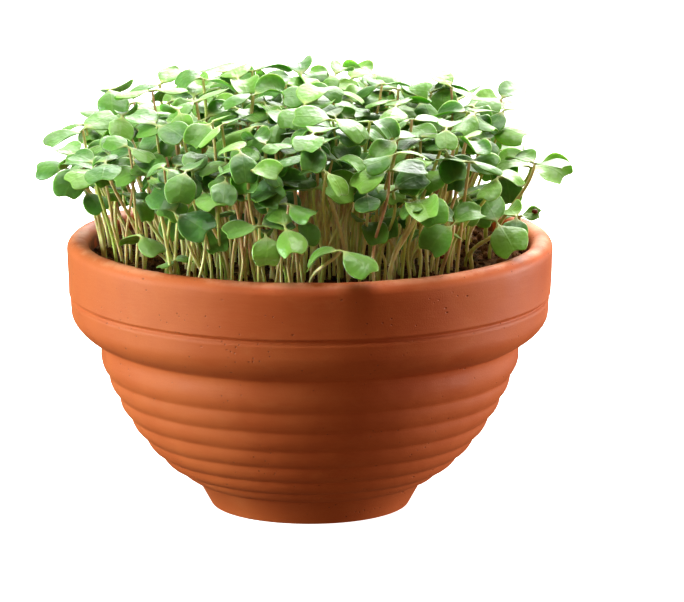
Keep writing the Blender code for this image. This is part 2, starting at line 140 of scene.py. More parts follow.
def value_noise(points: Array, size: float, seed: int) -> Array:
    """Smooth random relief, from -1 to 1.

    Random heights stand on the corners of a cubic lattice that repeats, and a point reads the eight corners
    round it, blended by 3t^2 - 2t^3 along each side.

    Args:
        points: Places, with x, y and z on the last axis.
        size: The side of a lattice cell, in metres.
        seed: Seed of the random heights.

    Returns:
        One height for each point.
    """
    heights = np.random.default_rng(seed).uniform(-1.0, 1.0, (LATTICE, LATTICE, LATTICE))
    scaled = points / size
    corner = np.floor(scaled).astype(int)
    part = scaled - corner
    part = part * part * (3 - 2 * part)
    total = np.zeros(points.shape[:-1])
    for step in np.ndindex(2, 2, 2):
        share = np.prod(np.where(np.array(step) == 1, part, 1 - part), axis=-1)
        x, y, z = np.moveaxis((corner + step) % LATTICE, -1, 0)
        total += share * heights[x, y, z]
    return total


def rough_noise(points: Array, size: float, seed: int, octaves: int = 3) -> Array:
    """Value noise in octaves, each at half the size and half the height of the one before."""
    return sum(value_noise(points, size / 2**k, seed + k) / 2**k for k in range(octaves))


def grid_faces(rows: int, columns: int, wrap: bool = False) -> Array:
    """Quads over a grid of points numbered row by row.

    Args:
        rows: How many rows of points.
        columns: How many points in a row.
        wrap: Whether the last column joins up with the first.

    Returns:
        Four point numbers for each quad.
    """
    across = np.arange(columns if wrap else columns - 1)
    row, column = np.meshgrid(np.arange(rows - 1), across, indexing="ij")
    beside = (column + 1) % columns
    corners = [row * columns + column, row * columns + beside,
               (row + 1) * columns + beside, (row + 1) * columns + column]
    return np.stack(corners, axis=-1).reshape(-1, 4)


def ring_caps(rows: int, columns: int) -> list[Array]:
    """The two end faces of a tube of rings, facing out of it."""
    return [np.arange(columns)[None, ::-1], (rows - 1) * columns + np.arange(columns)[None, :]]


def pole_fans(rows: int, columns: int) -> Array:
    """Triangles that close a wrapped grid at both ends, onto two poles numbered after its points."""
    here = np.arange(columns)
    after = (here + 1) % columns
    bottom = (rows - 1) * columns
    return np.concatenate([
        np.stack([after, here, np.full(columns, rows * columns)], axis=1),
        np.stack([bottom + here, bottom + after, np.full(columns, rows * columns + 1)], axis=1)])


def repeated(faces: Array, points_each: int, copies: int) -> Array:
    """The same faces for several equal runs of points, one after another."""
    shifts = np.arange(copies) * points_each
    return (faces[None] + shifts[:, None, None]).reshape(-1, faces.shape[1])


def turned_outward(points: Array, faces: list[Array]) -> list[Array]:
    """The faces of a closed shape, reversed if it holds a negative volume.

    The volume is a sixth of the sum, over a fan of triangles of each face, of a . (b x c).
    """
    volume = 0.0
    for kind in faces:
        for k in range(1, kind.shape[1] - 1):
            a, b, c = points[kind[:, 0]], points[kind[:, k]], points[kind[:, k + 1]]
            volume += float(np.einsum("ij,ij->", a, np.cross(b, c)))
    return faces if volume > 0 else [kind[:, ::-1] for kind in faces]


def mesh_piece(name: str, points: Array, faces: list[Array], traits: dict[str, Array] | None = None,
               body: str = "root") -> bpy.types.Object:
    """A smooth mesh in the scene, riding on a body of the frame.

    Args:
        name: The piece's name.
        points: Its vertices, in metres.
        faces: Arrays of faces, one for each number of corners.
        traits: Values on the vertices that its material reads: three numbers a vertex.
        body: The body that it rides on.

    Returns:
        The piece.
    """
    data = bpy.data.meshes.new(name)
    data.from_pydata(points, [], [face for kind in faces for face in kind.tolist()])
    data.shade_smooth()
    for label, values in (traits or {}).items():
        layer = data.attributes.new(label, "FLOAT_VECTOR", "POINT")
        layer.data.foreach_set("vector", np.asarray(values, np.float32).ravel())
    piece = bpy.data.objects.new(name, data)
    bpy.context.scene.collection.objects.link(piece)
    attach(piece, body)
    log.info("%s: %d vertices, %d faces", name, len(data.vertices), len(data.polygons))
    return piece


class Recipe:
    """A material's node tree while it is put together, with a short call for each kind of node."""

    def __init__(self, name: str) -> None:
        """Starts a material that holds one Principled shader."""
        self.material = bpy.data.materials.new(name)
        self.material.use_nodes = True
        self.tree = self.material.node_tree
        self.shader = self.tree.nodes["Principled BSDF"]

    def node(self, kind: str, inputs: dict[str | int, object] | None = None,
             **settings: object) -> bpy.types.Node:
        """A new node with its settings, and its inputs fed by sockets or set to values."""
        made = self.tree.nodes.new(kind)
        for key, value in settings.items():
            setattr(made, key, value)
        for key, value in (inputs or {}).items():
            self.feed(made.inputs[key], value)
        return made

    def feed(self, socket: Socket, value: object) -> None:
        """Links an output to a socket, or sets the socket's own value."""
        if isinstance(value, Socket):
            self.tree.links.new(value, socket)
        elif isinstance(value, tuple) and socket.type == "RGBA":
            socket.default_value = (*value[:3], 1.0)
        else:
            socket.default_value = value

    def places(self, stretch: tuple[float, float, float] = (1.0, 1.0, 1.0)) -> Socket:
        """Object coordinates, stretched along each axis."""
        coordinates = self.node("ShaderNodeTexCoord").outputs["Object"]
        return self.node("ShaderNodeMapping", {"Vector": coordinates, "Scale": stretch}).outputs[0]

    def noise(self, where: Socket, scale: float, detail: float = 3.0, roughness: float = 0.55) -> Socket:
        """Noise of about 0 to 1 at so many cells to the metre."""
        return self.node("ShaderNodeTexNoise", {"Vector": where, "Scale": scale, "Detail": detail,
                                                "Roughness": roughness}).outputs[0]

    def trait(self, label: str) -> tuple[Socket, Socket, Socket]:
        """The three numbers that the mesh keeps on each vertex under a label."""
        vector = self.node("ShaderNodeAttribute", attribute_name=label).outputs["Vector"]
        return tuple(self.node("ShaderNodeSeparateXYZ", {0: vector}).outputs)

    def sum(self, kind: str, first: object, second: object = 0.0) -> Socket:
        """One step of arithmetic on single numbers."""
        return self.node("ShaderNodeMath", {0: first, 1: second}, operation=kind).outputs[0]

    def between(self, value: Socket, low: float, high: float, start: float = 0.0,
                end: float = 1.0) -> Socket:
        """A value from low to high, eased over to start to end and held there outside."""
        inputs = {"Value": value, "From Min": low, "From Max": high, "To Min": start, "To Max": end}
        return self.node("ShaderNodeMapRange", inputs, interpolation_type="SMOOTHSTEP").outputs[0]

    def mix(self, share: object, first: object, second: object) -> Socket:
        """Two colours, mixed by a share."""
        return self.node("ShaderNodeMix", {0: share, 6: first, 7: second}, data_type="RGBA").outputs[2]

    def bump(self, height: Socket, depth: float, strength: float, under: Socket | None = None) -> Socket:
        """A normal bent by a height of so many metres."""
        made = self.node("ShaderNodeBump", {"Height": height, "Distance": depth, "Strength": strength})
        if under is not None:
            self.feed(made.inputs["Normal"], under)
        return made.outputs[0]

    def finish(self, **values: object) -> bpy.types.Material:
        """Feeds the shader's inputs, named with underscores for spaces, and gives the material."""
        for key, value in values.items():
            self.feed(self.shader.inputs[key.replace("_", " ")], value)
        return self.material


# ---------------------------------------------------------------- the terracotta bowl


@dataclass(frozen=True)
class TerracottaFinish:
    """Unglazed fired clay: fine grain, pits darkened with painted shade, faint throwing lines, a paler bloom,
    dirt inside, and a rim top made paler by wear and by a painted highlight.
    """

    body: Colour = (0.57, 0.148, 0.043)
    deep: Colour = (0.50, 0.112, 0.031)
    bloom: Colour = (0.60, 0.198, 0.075)
    # Dark brown painted into the pits as the shade inside them
    pit_shade: Colour = (0.16, 0.05, 0.02)
    damp: Colour = (0.16, 0.055, 0.025)
    # Paler clay of the rubbed rim top, which also paints the highlight that light leaves along it
    rim_wear_and_highlight: Colour = (0.84, 0.44, 0.26)
    roughness: float = 0.58

    def material(self, mouth: float, rim: float) -> bpy.types.Material:
        """The finish.

        Args:
            mouth: The radius inside which the wall is damp and dirty.
            rim: The height of the rim's top.

        Returns:
            The material.
        """
        mix = Recipe("terracotta")
        where = mix.places()
        rings = mix.places((0.12, 0.12, 1.0))
        clouds = mix.noise(where, 22.0, 4.0)
        colour = mix.mix(mix.between(clouds, 0.34, 0.66), self.deep, self.body)
        patches = mix.noise(mix.places((1.0, 1.0, 2.2)), 48.0, 5.0, 0.65)
        colour = mix.mix(mix.between(patches, 0.52, 0.78, 0.0, 0.38), colour, self.bloom)
        streaks = mix.noise(rings, 900.0, 3.0, 0.6)
        colour = mix.mix(mix.between(streaks, 0.35, 0.75, 0.0, 0.10), colour, self.bloom)
        grain = mix.noise(where, 1900.0, 2.0, 0.5)
        colour = mix.mix(mix.between(grain, 0.3, 0.7, 0.28, 0.0), colour, self.deep)
        fine = self.pits(mix, where, 360.0, 0.17, 70.0)
        coarse = self.pits(mix, mix.places((1.0, 1.0, 1.7)), 150.0, 0.13, 38.0)
        pit_mask = mix.sum("MAXIMUM", fine, coarse)
        # Painted shade: the pits are darkened, as shade inside the dents
        colour = mix.mix(mix.sum("MULTIPLY", pit_mask, 0.5), colour, self.pit_shade)
        x, y, z = mix.node("ShaderNodeSeparateXYZ", {0: where}).outputs
        radius = mix.sum("SQRT", mix.sum("ADD", mix.sum("MULTIPLY", x, x), mix.sum("MULTIPLY", y, y)))
        soiled = mix.noise(where, 160.0, 5.0, 0.7)
        edge = mix.sum("ADD", radius, mix.between(soiled, 0.3, 0.7, -4.0 * MM, 4.0 * MM))
        inside = mix.sum("MULTIPLY", mix.between(edge, mouth - 1.5 * MM, mouth + 2.0 * MM, 1.0, 0.0),
                         mix.between(z, rim - 5.0 * MM, rim - 0.5 * MM, 1.0, 0.0))
        inside = mix.sum("MULTIPLY", inside, mix.between(z, rim - 40.0 * MM, rim - 30.0 * MM))
        colour = mix.mix(mix.sum("MULTIPLY", inside, 0.8), colour, self.damp)
        # Painted highlight: the top 2 mm of the rim turns paler in patches, for wear and for the highlight
        # along it
        rim_wear_and_highlight = mix.between(z, rim - 2.2 * MM, rim - 0.2 * MM, 0.0, 0.45)
        rim_wear_and_highlight = mix.sum("MULTIPLY", rim_wear_and_highlight, mix.between(patches, 0.38, 0.62))
        colour = mix.mix(rim_wear_and_highlight, colour, self.rim_wear_and_highlight)
        hollow = mix.bump(streaks, 0.22 * MM, 0.3)
        relief = mix.bump(grain, 0.10 * MM, 0.55, under=hollow)
        pits = mix.bump(pit_mask, -0.35 * MM, 0.6, under=relief)
        rough = mix.between(clouds, 0.3, 0.7, self.roughness - 0.07, self.roughness + 0.1)
        return mix.finish(Base_Color=colour, Roughness=rough, Normal=pits, Specular_IOR_Level=0.38)

    @staticmethod
    def pits(mix: Recipe, where: Socket, scale: float, reach: float, gaps: float) -> Socket:
        """Small pits, one in a cell of size 1/scale, where a coarser noise of scale gaps is high."""
        away = mix.node("ShaderNodeTexVoronoi", {"Vector": where, "Scale": scale}).outputs["Distance"]
        return mix.sum("MULTIPLY", mix.between(away, reach * 0.4, reach, 1.0, 0.0),
                       mix.between(mix.noise(where, gaps, 2.0), 0.53, 0.60))


@dataclass(frozen=True)
class TerracottaBowl:
    """The turned bowl: foot, ribbed belly, heavy collar, rounded rim, cavity and drain hole."""

    height: float = 112.0 * MM
    rim_radius: float = 100.0 * MM
    rim_wall: float = 9.5 * MM
    rim_rounding: float = 4.6 * MM
    collar_height: float = 43.0 * MM
    collar_overhang: float = 14.0 * MM
    collar_chamfer: float = 13.0 * MM
    collar_taper: float = 0.8 * MM
    underside_swell: float = 0.45
    groove_drop: float = 23.5 * MM
    groove_step: float = 1.0 * MM
    groove_width: float = 1.2 * MM
    neck_height: float = 4.0 * MM
    foot_radius: float = 46.4 * MM
    foot_height: float = 10.4 * MM
    foot_taper: float = 5.2 * MM
    drain_radius: float = 7.0 * MM
    belly_inset: float = 12.0 * MM
    belly_rise: float = 16.2 * MM
    rib_count: int = 7
    rib_bulge: float = 1.15 * MM
    rib_points: int = 12
    rib_power: float = 0.42
    rib_valley: float = 0.01
    spine_points: int = 400
    base_thickness: float = 12.0 * MM
    cavity_floor_radius: float = 30.0 * MM
    cavity_inset: float = 20.5 * MM
    cavity_rise: float = 8.0 * MM
    segments: int = 256
    edge_rounding: float = 1.2 * MM
    unevenness: float = 0.16 * MM
    finish: TerracottaFinish = TerracottaFinish()

    @staticmethod
    def bezier(start: tuple, control: tuple, end: tuple, count: int) -> Array:
        """Points of a quadratic curve, (1-t)^2 a + 2t(1-t) b + t^2 c, both ends included."""
        t = np.linspace(0.0, 1.0, count)[:, None]
        return (1 - t) ** 2 * np.array(start) + 2 * t * (1 - t) * np.array(control) + t**2 * np.array(end)

    @staticmethod
    def arc(centre: tuple, radius: float, first: float, last: float, count: int) -> Array:
        """Points of a circular arc, from the first angle to the last, in degrees."""
        angles = np.radians(np.linspace(first, last, count))
        return np.array(centre) + radius * np.stack([np.cos(angles), np.sin(angles)], axis=1)

    @staticmethod
    def normals(points: Array) -> Array:
        """Unit normals on the right-hand side of a run of (radius, height) points."""
        along = unit(np.gradient(points, axis=0))
        return np.stack([along[:, 1], -along[:, 0]], axis=1)

    def foot(self) -> Array:
        """The foot's underside, with a small rounding at the drain hole and at its lower edge."""
        rounding = self.edge_rounding
        flat_radius = self.foot_radius - self.foot_taper
        inner = self.arc((self.drain_radius + rounding, rounding), rounding, 180, 270, 4)
        outer = self.arc((flat_radius - rounding, rounding), rounding, -90, -25, 4)
        return np.concatenate([inner, outer])

    def ribbed_belly(self) -> Array:
        """The belly: a quadratic curve in even steps, pushed out by a bulge for each rib.

        The bulge goes as a low power of a squared sine plus a little, so that the valleys between ribs are
        narrow but not knife-sharp. The lowest rib is flatter than the others.
        """
        top = (self.rim_radius - self.collar_overhang, self.height - self.collar_height - self.neck_height)
        bottom = (self.foot_radius, self.foot_height)
        belly = (top[0] - self.belly_inset, bottom[1] + self.belly_rise)
        fine = self.bezier(bottom, belly, top, self.spine_points)
        walked = np.concatenate([[0.0], np.cumsum(np.linalg.norm(np.diff(fine, axis=0), axis=1))])
        shares = np.linspace(0.0, 1.0, self.rib_count * self.rib_points + 1)
        spine = np.stack([np.interp(shares * walked[-1], walked, fine[:, k]) for k in (0, 1)], axis=1)
        wave = np.sin(math.pi * self.rib_count * shares) ** 2
        flatter = np.minimum(1.0, 0.5 + 2.5 * shares)
        bulge = self.rib_bulge * (wave + self.rib_valley) ** self.rib_power * flatter
        return spine + self.normals(spine) * bulge[:, None]

    def collar(self) -> Array:
        """The collar above its neck: rounded underside, two bands with a thin groove between, and the rim."""
        low = self.height - self.collar_height
        waist = self.rim_radius - self.collar_overhang
        groove = self.height - self.groove_drop
        band = self.rim_radius - self.groove_step - self.collar_taper
        shoulder = low + self.collar_chamfer
        start = (waist + self.groove_step, low + self.groove_step)
        neck = self.bezier((waist, low - self.neck_height), (waist, low), start, 6)[1:-1]
        swell = (band - self.groove_step / 2, low + self.underside_swell * self.collar_chamfer)
        underside = self.bezier(start, swell, (band, shoulder), 14)
        below = band + self.collar_taper / 2
        above = self.rim_radius - self.collar_taper
        width = self.groove_width
        lower = np.linspace((band, shoulder), (below, groove - width), 5)[1:]
        cut = self.bezier((below, groove - width * 0.9), (band - width, groove - width * 0.1),
                          (above, groove + width), 7)[1:]
        crest = self.height - self.rim_rounding
        upper = np.linspace((above, groove + width * 1.4), (self.rim_radius, crest), 6)[:-1]
        outer = self.arc((self.rim_radius - self.rim_rounding, crest), self.rim_rounding, 0, 90, 9)
        mouth = self.rim_radius - self.rim_wall
        inner = self.arc((mouth + self.rim_rounding, crest), self.rim_rounding, 90, 180, 9)
        return np.concatenate([neck, underside, lower, cut, upper, outer, inner])

    def cavity(self, count: int = 24) -> Array:
        """The inside wall from just under the rim down to the edge of the inner floor."""
        mouth = (self.rim_radius - self.rim_wall, self.height - 2 * self.rim_rounding)
        floor = (self.cavity_floor_radius, self.base_thickness)
        return self.bezier(mouth, (mouth[0] - self.cavity_inset, floor[1] + self.cavity_rise), floor, count)

    def surface(self) -> Array:
        """The turned surface as a grid of points: profile along one side, turns along the other.

        Noise along the normal leaves the wall a little uneven, and nothing at the foot's underside, which is
        ground flat.
        """
        end = [(self.drain_radius, self.base_thickness)]
        profile = np.concatenate([self.foot(), self.ribbed_belly(), self.collar(), self.cavity(), end])
        angles = whole_turn(self.segments)
        points = turned_grid(profile, angles)
        push = turned_grid(self.normals(profile), angles)
        stretched = points * (1.0, 1.0, 2.5)
        relief = rough_noise(stretched, 24.0 * MM, 11) + 0.35 * rough_noise(points, 3.2 * MM, 12, 2)
        settled = np.clip(points[..., 2] / self.edge_rounding - 1.0, 0.0, 1.0)
        return points + push * (relief * settled * self.unevenness)[..., None]

    def build(self) -> None:
        """The bowl as one closed piece, in place of its node."""
        grid = self.surface()
        rows, columns = grid.shape[:2]
        points = grid.reshape(-1, 3)
        here = np.arange(columns)
        after = (here + 1) % columns
        last = (rows - 1) * columns
        closing = np.stack([here + last, after + last, after, here], axis=1)
        faces = turned_outward(points, [np.concatenate([grid_faces(rows, columns, wrap=True), closing])])
        piece = mesh_piece("turned_bowl", points, faces)
        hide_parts("terracotta_bowl")
        piece.data.materials.append(self.finish.material(self.rim_radius - self.rim_wall, self.height))


# ---------------------------------------------------------------- the soil


@dataclass(frozen=True)
class SoilFinish:
    """Moist potting soil, from near black to the brown of dry fibres."""

    dark: Colour = (0.040, 0.018, 0.007)
    brown: Colour = (0.22, 0.105, 0.040)
    dry: Colour = (0.42, 0.26, 0.13)

    def material(self, name: str, lightness: float) -> bpy.types.Material:
        """The finish, made darker or lighter as a whole by a share of brown."""
        mix = Recipe(name)
        where = mix.places()
        lumps = mix.noise(where, 230.0, 6.0, 0.7)
        lighter = mix.between(lumps, 0.38 - 0.1 * lightness, 0.72 - 0.1 * lightness)
        colour = mix.mix(lighter, self.dark, self.brown)
        flecks = mix.noise(where, 1300.0, 3.0, 0.6)
        colour = mix.mix(mix.between(flecks, 0.56, 0.72, 0.0, 0.35 + 0.4 * lightness), colour, self.dry)
        relief = mix.bump(mix.noise(where, 700.0, 6.0, 0.75), 1.2 * MM, 0.9)
        return mix.finish(Base_Color=colour, Roughness=0.93, Normal=relief, Specular_IOR_Level=0.1)


@dataclass(frozen=True)
class FibreFinish:
    """Dry root hairs and coir: straw to brown along the piece."""

    pale: Colour = (0.42, 0.29, 0.15)
    brown: Colour = (0.16, 0.085, 0.04)

    def material(self) -> bpy.types.Material:
        """The finish."""
        mix = Recipe("coir_and_root_hairs")
        shade = mix.noise(mix.places(), 160.0, 2.0)
        colour = mix.mix(mix.between(shade, 0.4, 0.62), self.pale, self.brown)
        return mix.finish(Base_Color=colour, Roughness=0.8, Normal=mix.bump(shade, 0.2 * MM, 0.3))


@dataclass(frozen=True)
class PottingSoil:
    """The soil in the bowl: a crumbly top, loose crumbs, coir and root hairs."""

    drop: float = 8.0 * MM
    gap: float = 0.3 * MM
    relief: float = 1.4 * MM
    clod_height: float = 1.1 * MM
    clod_size: float = 7.0 * MM
    grit_height: float = 0.7 * MM
    grit_size: float = 2.4 * MM
    rings: int = 110
    turns: int = 300
    ring_power: float = 0.8
    crumb_count: int = 1500
    crumb_size: tuple[float, float] = (0.45 * MM, 2.1 * MM)
    fibre_count: int = 150
    fibre_length: tuple[float, float] = (5.0 * MM, 17.0 * MM)
    fibre_radius: float = 0.14 * MM
    seed: int = 5
    finish: SoilFinish = SoilFinish()
    fibres: FibreFinish = FibreFinish()

    def level(self, bowl: TerracottaBowl) -> float:
        """The height that the soil is levelled to."""
        return bowl.height - self.drop

    def waves(self, x: Array, y: Array) -> Array:
        """The slow relief of the frame's own soil: three crossing waves."""
        wave = np.sin(x / (9.0 * MM)) * np.cos(y / (11.0 * MM)) + np.sin((x + y) / (5.0 * MM))
        return self.relief * 0.5 * (0.6 * wave + 0.4 * np.cos((x - 2 * y) / (14.0 * MM)))

    def height_at(self, x: Array, y: Array, bowl: TerracottaBowl) -> Array:
        """The height of the crumbly top: the slow waves and two sizes of rough noise."""
        flat = np.stack([x, y, np.zeros_like(x)], axis=-1)
        clods = self.clod_height * rough_noise(flat, self.clod_size, 21)
        grit = self.grit_height * np.abs(rough_noise(flat, self.grit_size, 31))
        return self.level(bowl) + self.waves(x, y) + (clods + grit)

    def edge(self, bowl: TerracottaBowl) -> float:
        """The radius at which the top meets the wall."""
        wall = bowl.cavity()[::-1]
        return float(np.interp(self.level(bowl), wall[:, 1], wall[:, 0])) - self.gap

    def build_top(self, bowl: TerracottaBowl) -> None:
        """The soil as one closed piece, in place of its node.

        Rings run from the middle of its underside up the wall and back over the top to the middle. The top's
        ring radii go as a power of even shares, so that the rings are a little closer together at the wall.
        """
        wall = bowl.cavity()[::-1]
        inset = wall + bowl.normals(wall) * -self.gap
        inset[0] = (bowl.cavity_floor_radius, bowl.base_thickness + self.gap)
        below = inset[inset[:, 1] < self.level(bowl) - self.relief]
        share = np.linspace(1.0, 0.0, self.rings + 1)[:-1] ** self.ring_power
        over = np.stack([share * self.edge(bowl), np.full(self.rings, self.level(bowl))], axis=1)
        profile = np.concatenate([below, over])
        points = turned_grid(profile, whole_turn(self.turns))
        top = points[len(below):]
        settled = np.clip((1 - share) / 0.03, 0.25, 1.0)[:, None]
        rise = self.height_at(top[..., 0], top[..., 1], bowl) - self.level(bowl)
        top[..., 2] += rise * settled
        middle = self.height_at(np.zeros(1), np.zeros(1), bowl)[0]
        poles = [(0.0, 0.0, bowl.base_thickness + self.gap), (0.0, 0.0, middle)]
        everything = np.concatenate([points.reshape(-1, 3), poles])
        skin = grid_faces(len(profile), self.turns, wrap=True)
        faces = turned_outward(everything, [skin, pole_fans(len(profile), self.turns)])
        piece = mesh_piece("soil_bed", everything, faces)
        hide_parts("potting_soil")
        piece.data.materials.append(self.finish.material("potting_soil", 0.3))

    def build_crumbs(self, bowl: TerracottaBowl) -> None:
        """Loose crumbs on the soil and against the wall, all in one piece.

        A crumb is a ball of four rings of seven points and two poles, whose radius is changed by noise, and
        it is stretched by a random amount along each axis.
        """
        draw = np.random.default_rng(self.seed)
        rings, around = 4, 7
        tilt = np.linspace(0.0, math.pi, rings + 2)[1:-1]
        turn = whole_turn(around)
        ball = np.stack([np.sin(tilt)[:, None] * np.cos(turn), np.sin(tilt)[:, None] * np.sin(turn),
                         np.cos(tilt)[:, None] * np.ones(around)], axis=-1).reshape(-1, 3)
        ball = np.concatenate([ball, [(0.0, 0.0, 1.0), (0.0, 0.0, -1.0)]])
        count = self.crumb_count
        share = np.sqrt(draw.uniform(0.0, 1.0, count)) ** 0.7
        angle = draw.uniform(0.0, 2 * math.pi, count)
        low, high = self.crumb_size
        size = low + (high - low) * draw.uniform(0.0, 1.0, count) ** 2.6
        reach = (self.edge(bowl) - size * 1.1) * share
        x, y = reach * np.cos(angle), reach * np.sin(angle)
        heights = self.height_at(x, y, bowl) + size * draw.uniform(-0.15, 0.55, count)
        centres = np.stack([x, y, heights], axis=1)
        stretch = draw.uniform(0.65, 1.15, (count, 1, 3))
        points = centres[:, None] + ball[None] * stretch * size[:, None, None]
        bumps = 1 + 0.38 * value_noise(points + centres[:, None] * 3.0, 1.1 * MM, 8)
        points = centres[:, None] + (points - centres[:, None]) * bumps[..., None]
        faces = [repeated(grid_faces(rings, around, wrap=True), len(ball), count),
                 repeated(pole_fans(rings, around), len(ball), count)]
        flat = points.reshape(-1, 3)
        piece = mesh_piece("soil_crumbs", flat, turned_outward(flat, faces))
        piece.data.materials.append(self.finish.material("soil_crumbs", 0.8))

    def build_fibres(self, bowl: TerracottaBowl) -> None:
        """Coir and root hairs lying on the soil, all in one piece.

        A fibre starts at a point and walks level in even steps, turning by an even amount and a sine, and it
        follows the soil's height with a small arch in its middle.
        """
        draw = np.random.default_rng(self.seed + 1)
        count, rings, sides = self.fibre_count, 9, 4
        share = np.sqrt(draw.uniform(0.15, 1.0, count))
        angle = draw.uniform(0.0, 2 * math.pi, count)
        reach = (self.edge(bowl) - 5.0 * MM) * share
        along = np.linspace(0.0, 1.0, rings)
        length = draw.uniform(*self.fibre_length, count)[:, None]
        start = draw.uniform(0.0, 2 * math.pi, count)[:, None]
        curve = draw.uniform(-2.4, 2.4, count)[:, None]
        wriggle = draw.uniform(-0.6, 0.6, count)[:, None]
        heading = start + curve * along + wriggle * np.sin(7.0 * along)
        steps = level_directions(heading) * (length / (rings - 1))[..., None]
        path = np.cumsum(steps, axis=1) - steps[:, :1]
        path = path + (level_directions(angle) * reach[:, None])[:, None]
        radius = np.linalg.norm(path[..., :2], axis=-1)
        held = np.minimum(radius, self.edge(bowl) - 1.0 * MM) / radius
        path[..., :2] *= held[..., None]
        arch = draw.uniform(0.2 * MM, 2.2 * MM, count)[:, None] * np.sin(math.pi * along)
        path[..., 2] = self.height_at(path[..., 0], path[..., 1], bowl) + arch + 0.1 * MM
        thick = self.fibre_radius * draw.uniform(0.6, 1.5, count)[:, None] * (1.0 - 0.5 * along)
        points = tubes(path, thick, sides)
        flat = points.reshape(-1, 3)
        faces = [repeated(grid_faces(rings, sides, wrap=True), rings * sides, count)]
        faces += [repeated(cap, rings * sides, count) for cap in ring_caps(rings, sides)]
        piece = mesh_piece("coir_and_root_hairs", flat, turned_outward(flat, faces))
        piece.data.materials.append(self.fibres.material())

    def build(self, bowl: TerracottaBowl) -> None:
        """All pieces of the soil."""
        self.build_top(bowl)
        self.build_crumbs(bowl)
        self.build_fibres(bowl)


def tubes(paths: Array, radii: Array, sides: int) -> Array:
    """Round tubes along several paths at once.

    At each point the ring lies across the path: its two axes are the cross product of the path's direction
    with a fixed level line, and of the direction with that.

    Args:
        paths: Middle points, (tubes, rings, 3).
        radii: Radii, (tubes, rings).
        sides: How many points a ring has.

    Returns:
        The points, (tubes, rings, sides, 3).
    """
    tangent = unit(np.gradient(paths, axis=1))
    helper = np.array([0.31, -0.95, 0.05])
    across = unit(np.cross(tangent, helper))
    over = np.cross(tangent, across)
    turn = whole_turn(sides)
    ring = across[:, :, None] * np.cos(turn)[:, None] + over[:, :, None] * np.sin(turn)[:, None]
    return paths[:, :, None] + ring * radii[:, :, None, None]


# ---------------------------------------------------------------- how sprouts grow


@dataclass(frozen=True)
class SproutSizes:
    """The sizes that all seedlings share."""

    stem_radius: float = 0.95 * MM
    stalk_radius: float = 0.75 * MM
    stalk_length: float = 4.2 * MM
    leaf_length: float = 11.8 * MM
    leaf_width: float = 15.8 * MM
    solid_thickness: float = 0.7 * MM
    thickness: float = 0.42 * MM
    notch: float = 0.84
    lobe: float = 0.93
    widest: float = 0.58
    roundness: float = 2.2
    fullness: float = 0.6
    slim_stalk: float = 0.52 * MM
    blade_start: float = 1.7 * MM
    blade_steps: int = 4

    def half_width(self, share: Array) -> Array:
        """Half the blade's width at shares s of its length.

        It is (W/2) (1 - |1 - s/widest|^roundness)^fullness, with the blade's full width W.
        """
        rounded = np.maximum(0.0, 1 - np.abs(1 - share / self.widest) ** self.roundness)
        return self.leaf_width / 2 * rounded**self.fullness

    def blade_shares(self, rows: Array) -> Array:
        """The share of the modelled blade at station numbers: it starts before the frame's own blade does."""
        steps = np.linspace(0.0, 1.0, self.blade_steps + 1)
        marks = np.concatenate([[0.0], self.stalk_length + self.leaf_length * self.notch * steps])
        walked = np.interp(rows, np.arange(len(marks)), marks)
        return np.clip((walked - self.blade_start) / (marks[-1] - self.blade_start), 0.0, 1.0)


@dataclass
class Stand:
    """Several sprouts as arrays: one row for each, and two columns where a value is a leaf's."""

    root: Array
    neck: Array
    heading: Array
    rise: Array
    spread: Array
    droop: Array
    roll: Array
    size: Array
    fold: Array
    curl: Array
    tint: Array

    def chosen(self, rows: Array | list[int]) -> "Stand":
        """The sprouts of some rows."""
        return Stand(**{key: value[rows] for key, value in vars(self).items()})

    @staticmethod
    def joined(stands: list["Stand"]) -> "Stand":
        """Several stands as one."""
        return Stand(**{key: np.concatenate([vars(s)[key] for s in stands]) for key in vars(stands[0])})

    def __len__(self) -> int:
        """How many sprouts stand here."""
        return len(self.root)


@dataclass(frozen=True)
class Seedling:
    """A plan: a root, a neck and a heading, how freely they vary, the tilt to the light, and a seed."""

    name: str
    root: Array
    neck: Array
    heading: float
    freedom: float
    size: float
    tilt: float
    seed: int


@dataclass(frozen=True)
class GrowthRanges:
    """How much a sprout may vary: angles in degrees, and size as a share."""

    rise: tuple[float, float] = (35, 60)
    spread: tuple[float, float] = (0, 25)
    droop: tuple[float, float] = (-40, 0)
    roll: tuple[float, float] = (-22, 22)
    leaf_size: tuple[float, float] = (0.92, 1.08)
    heading: float = 0.2
    lean: float = 5.0 * MM


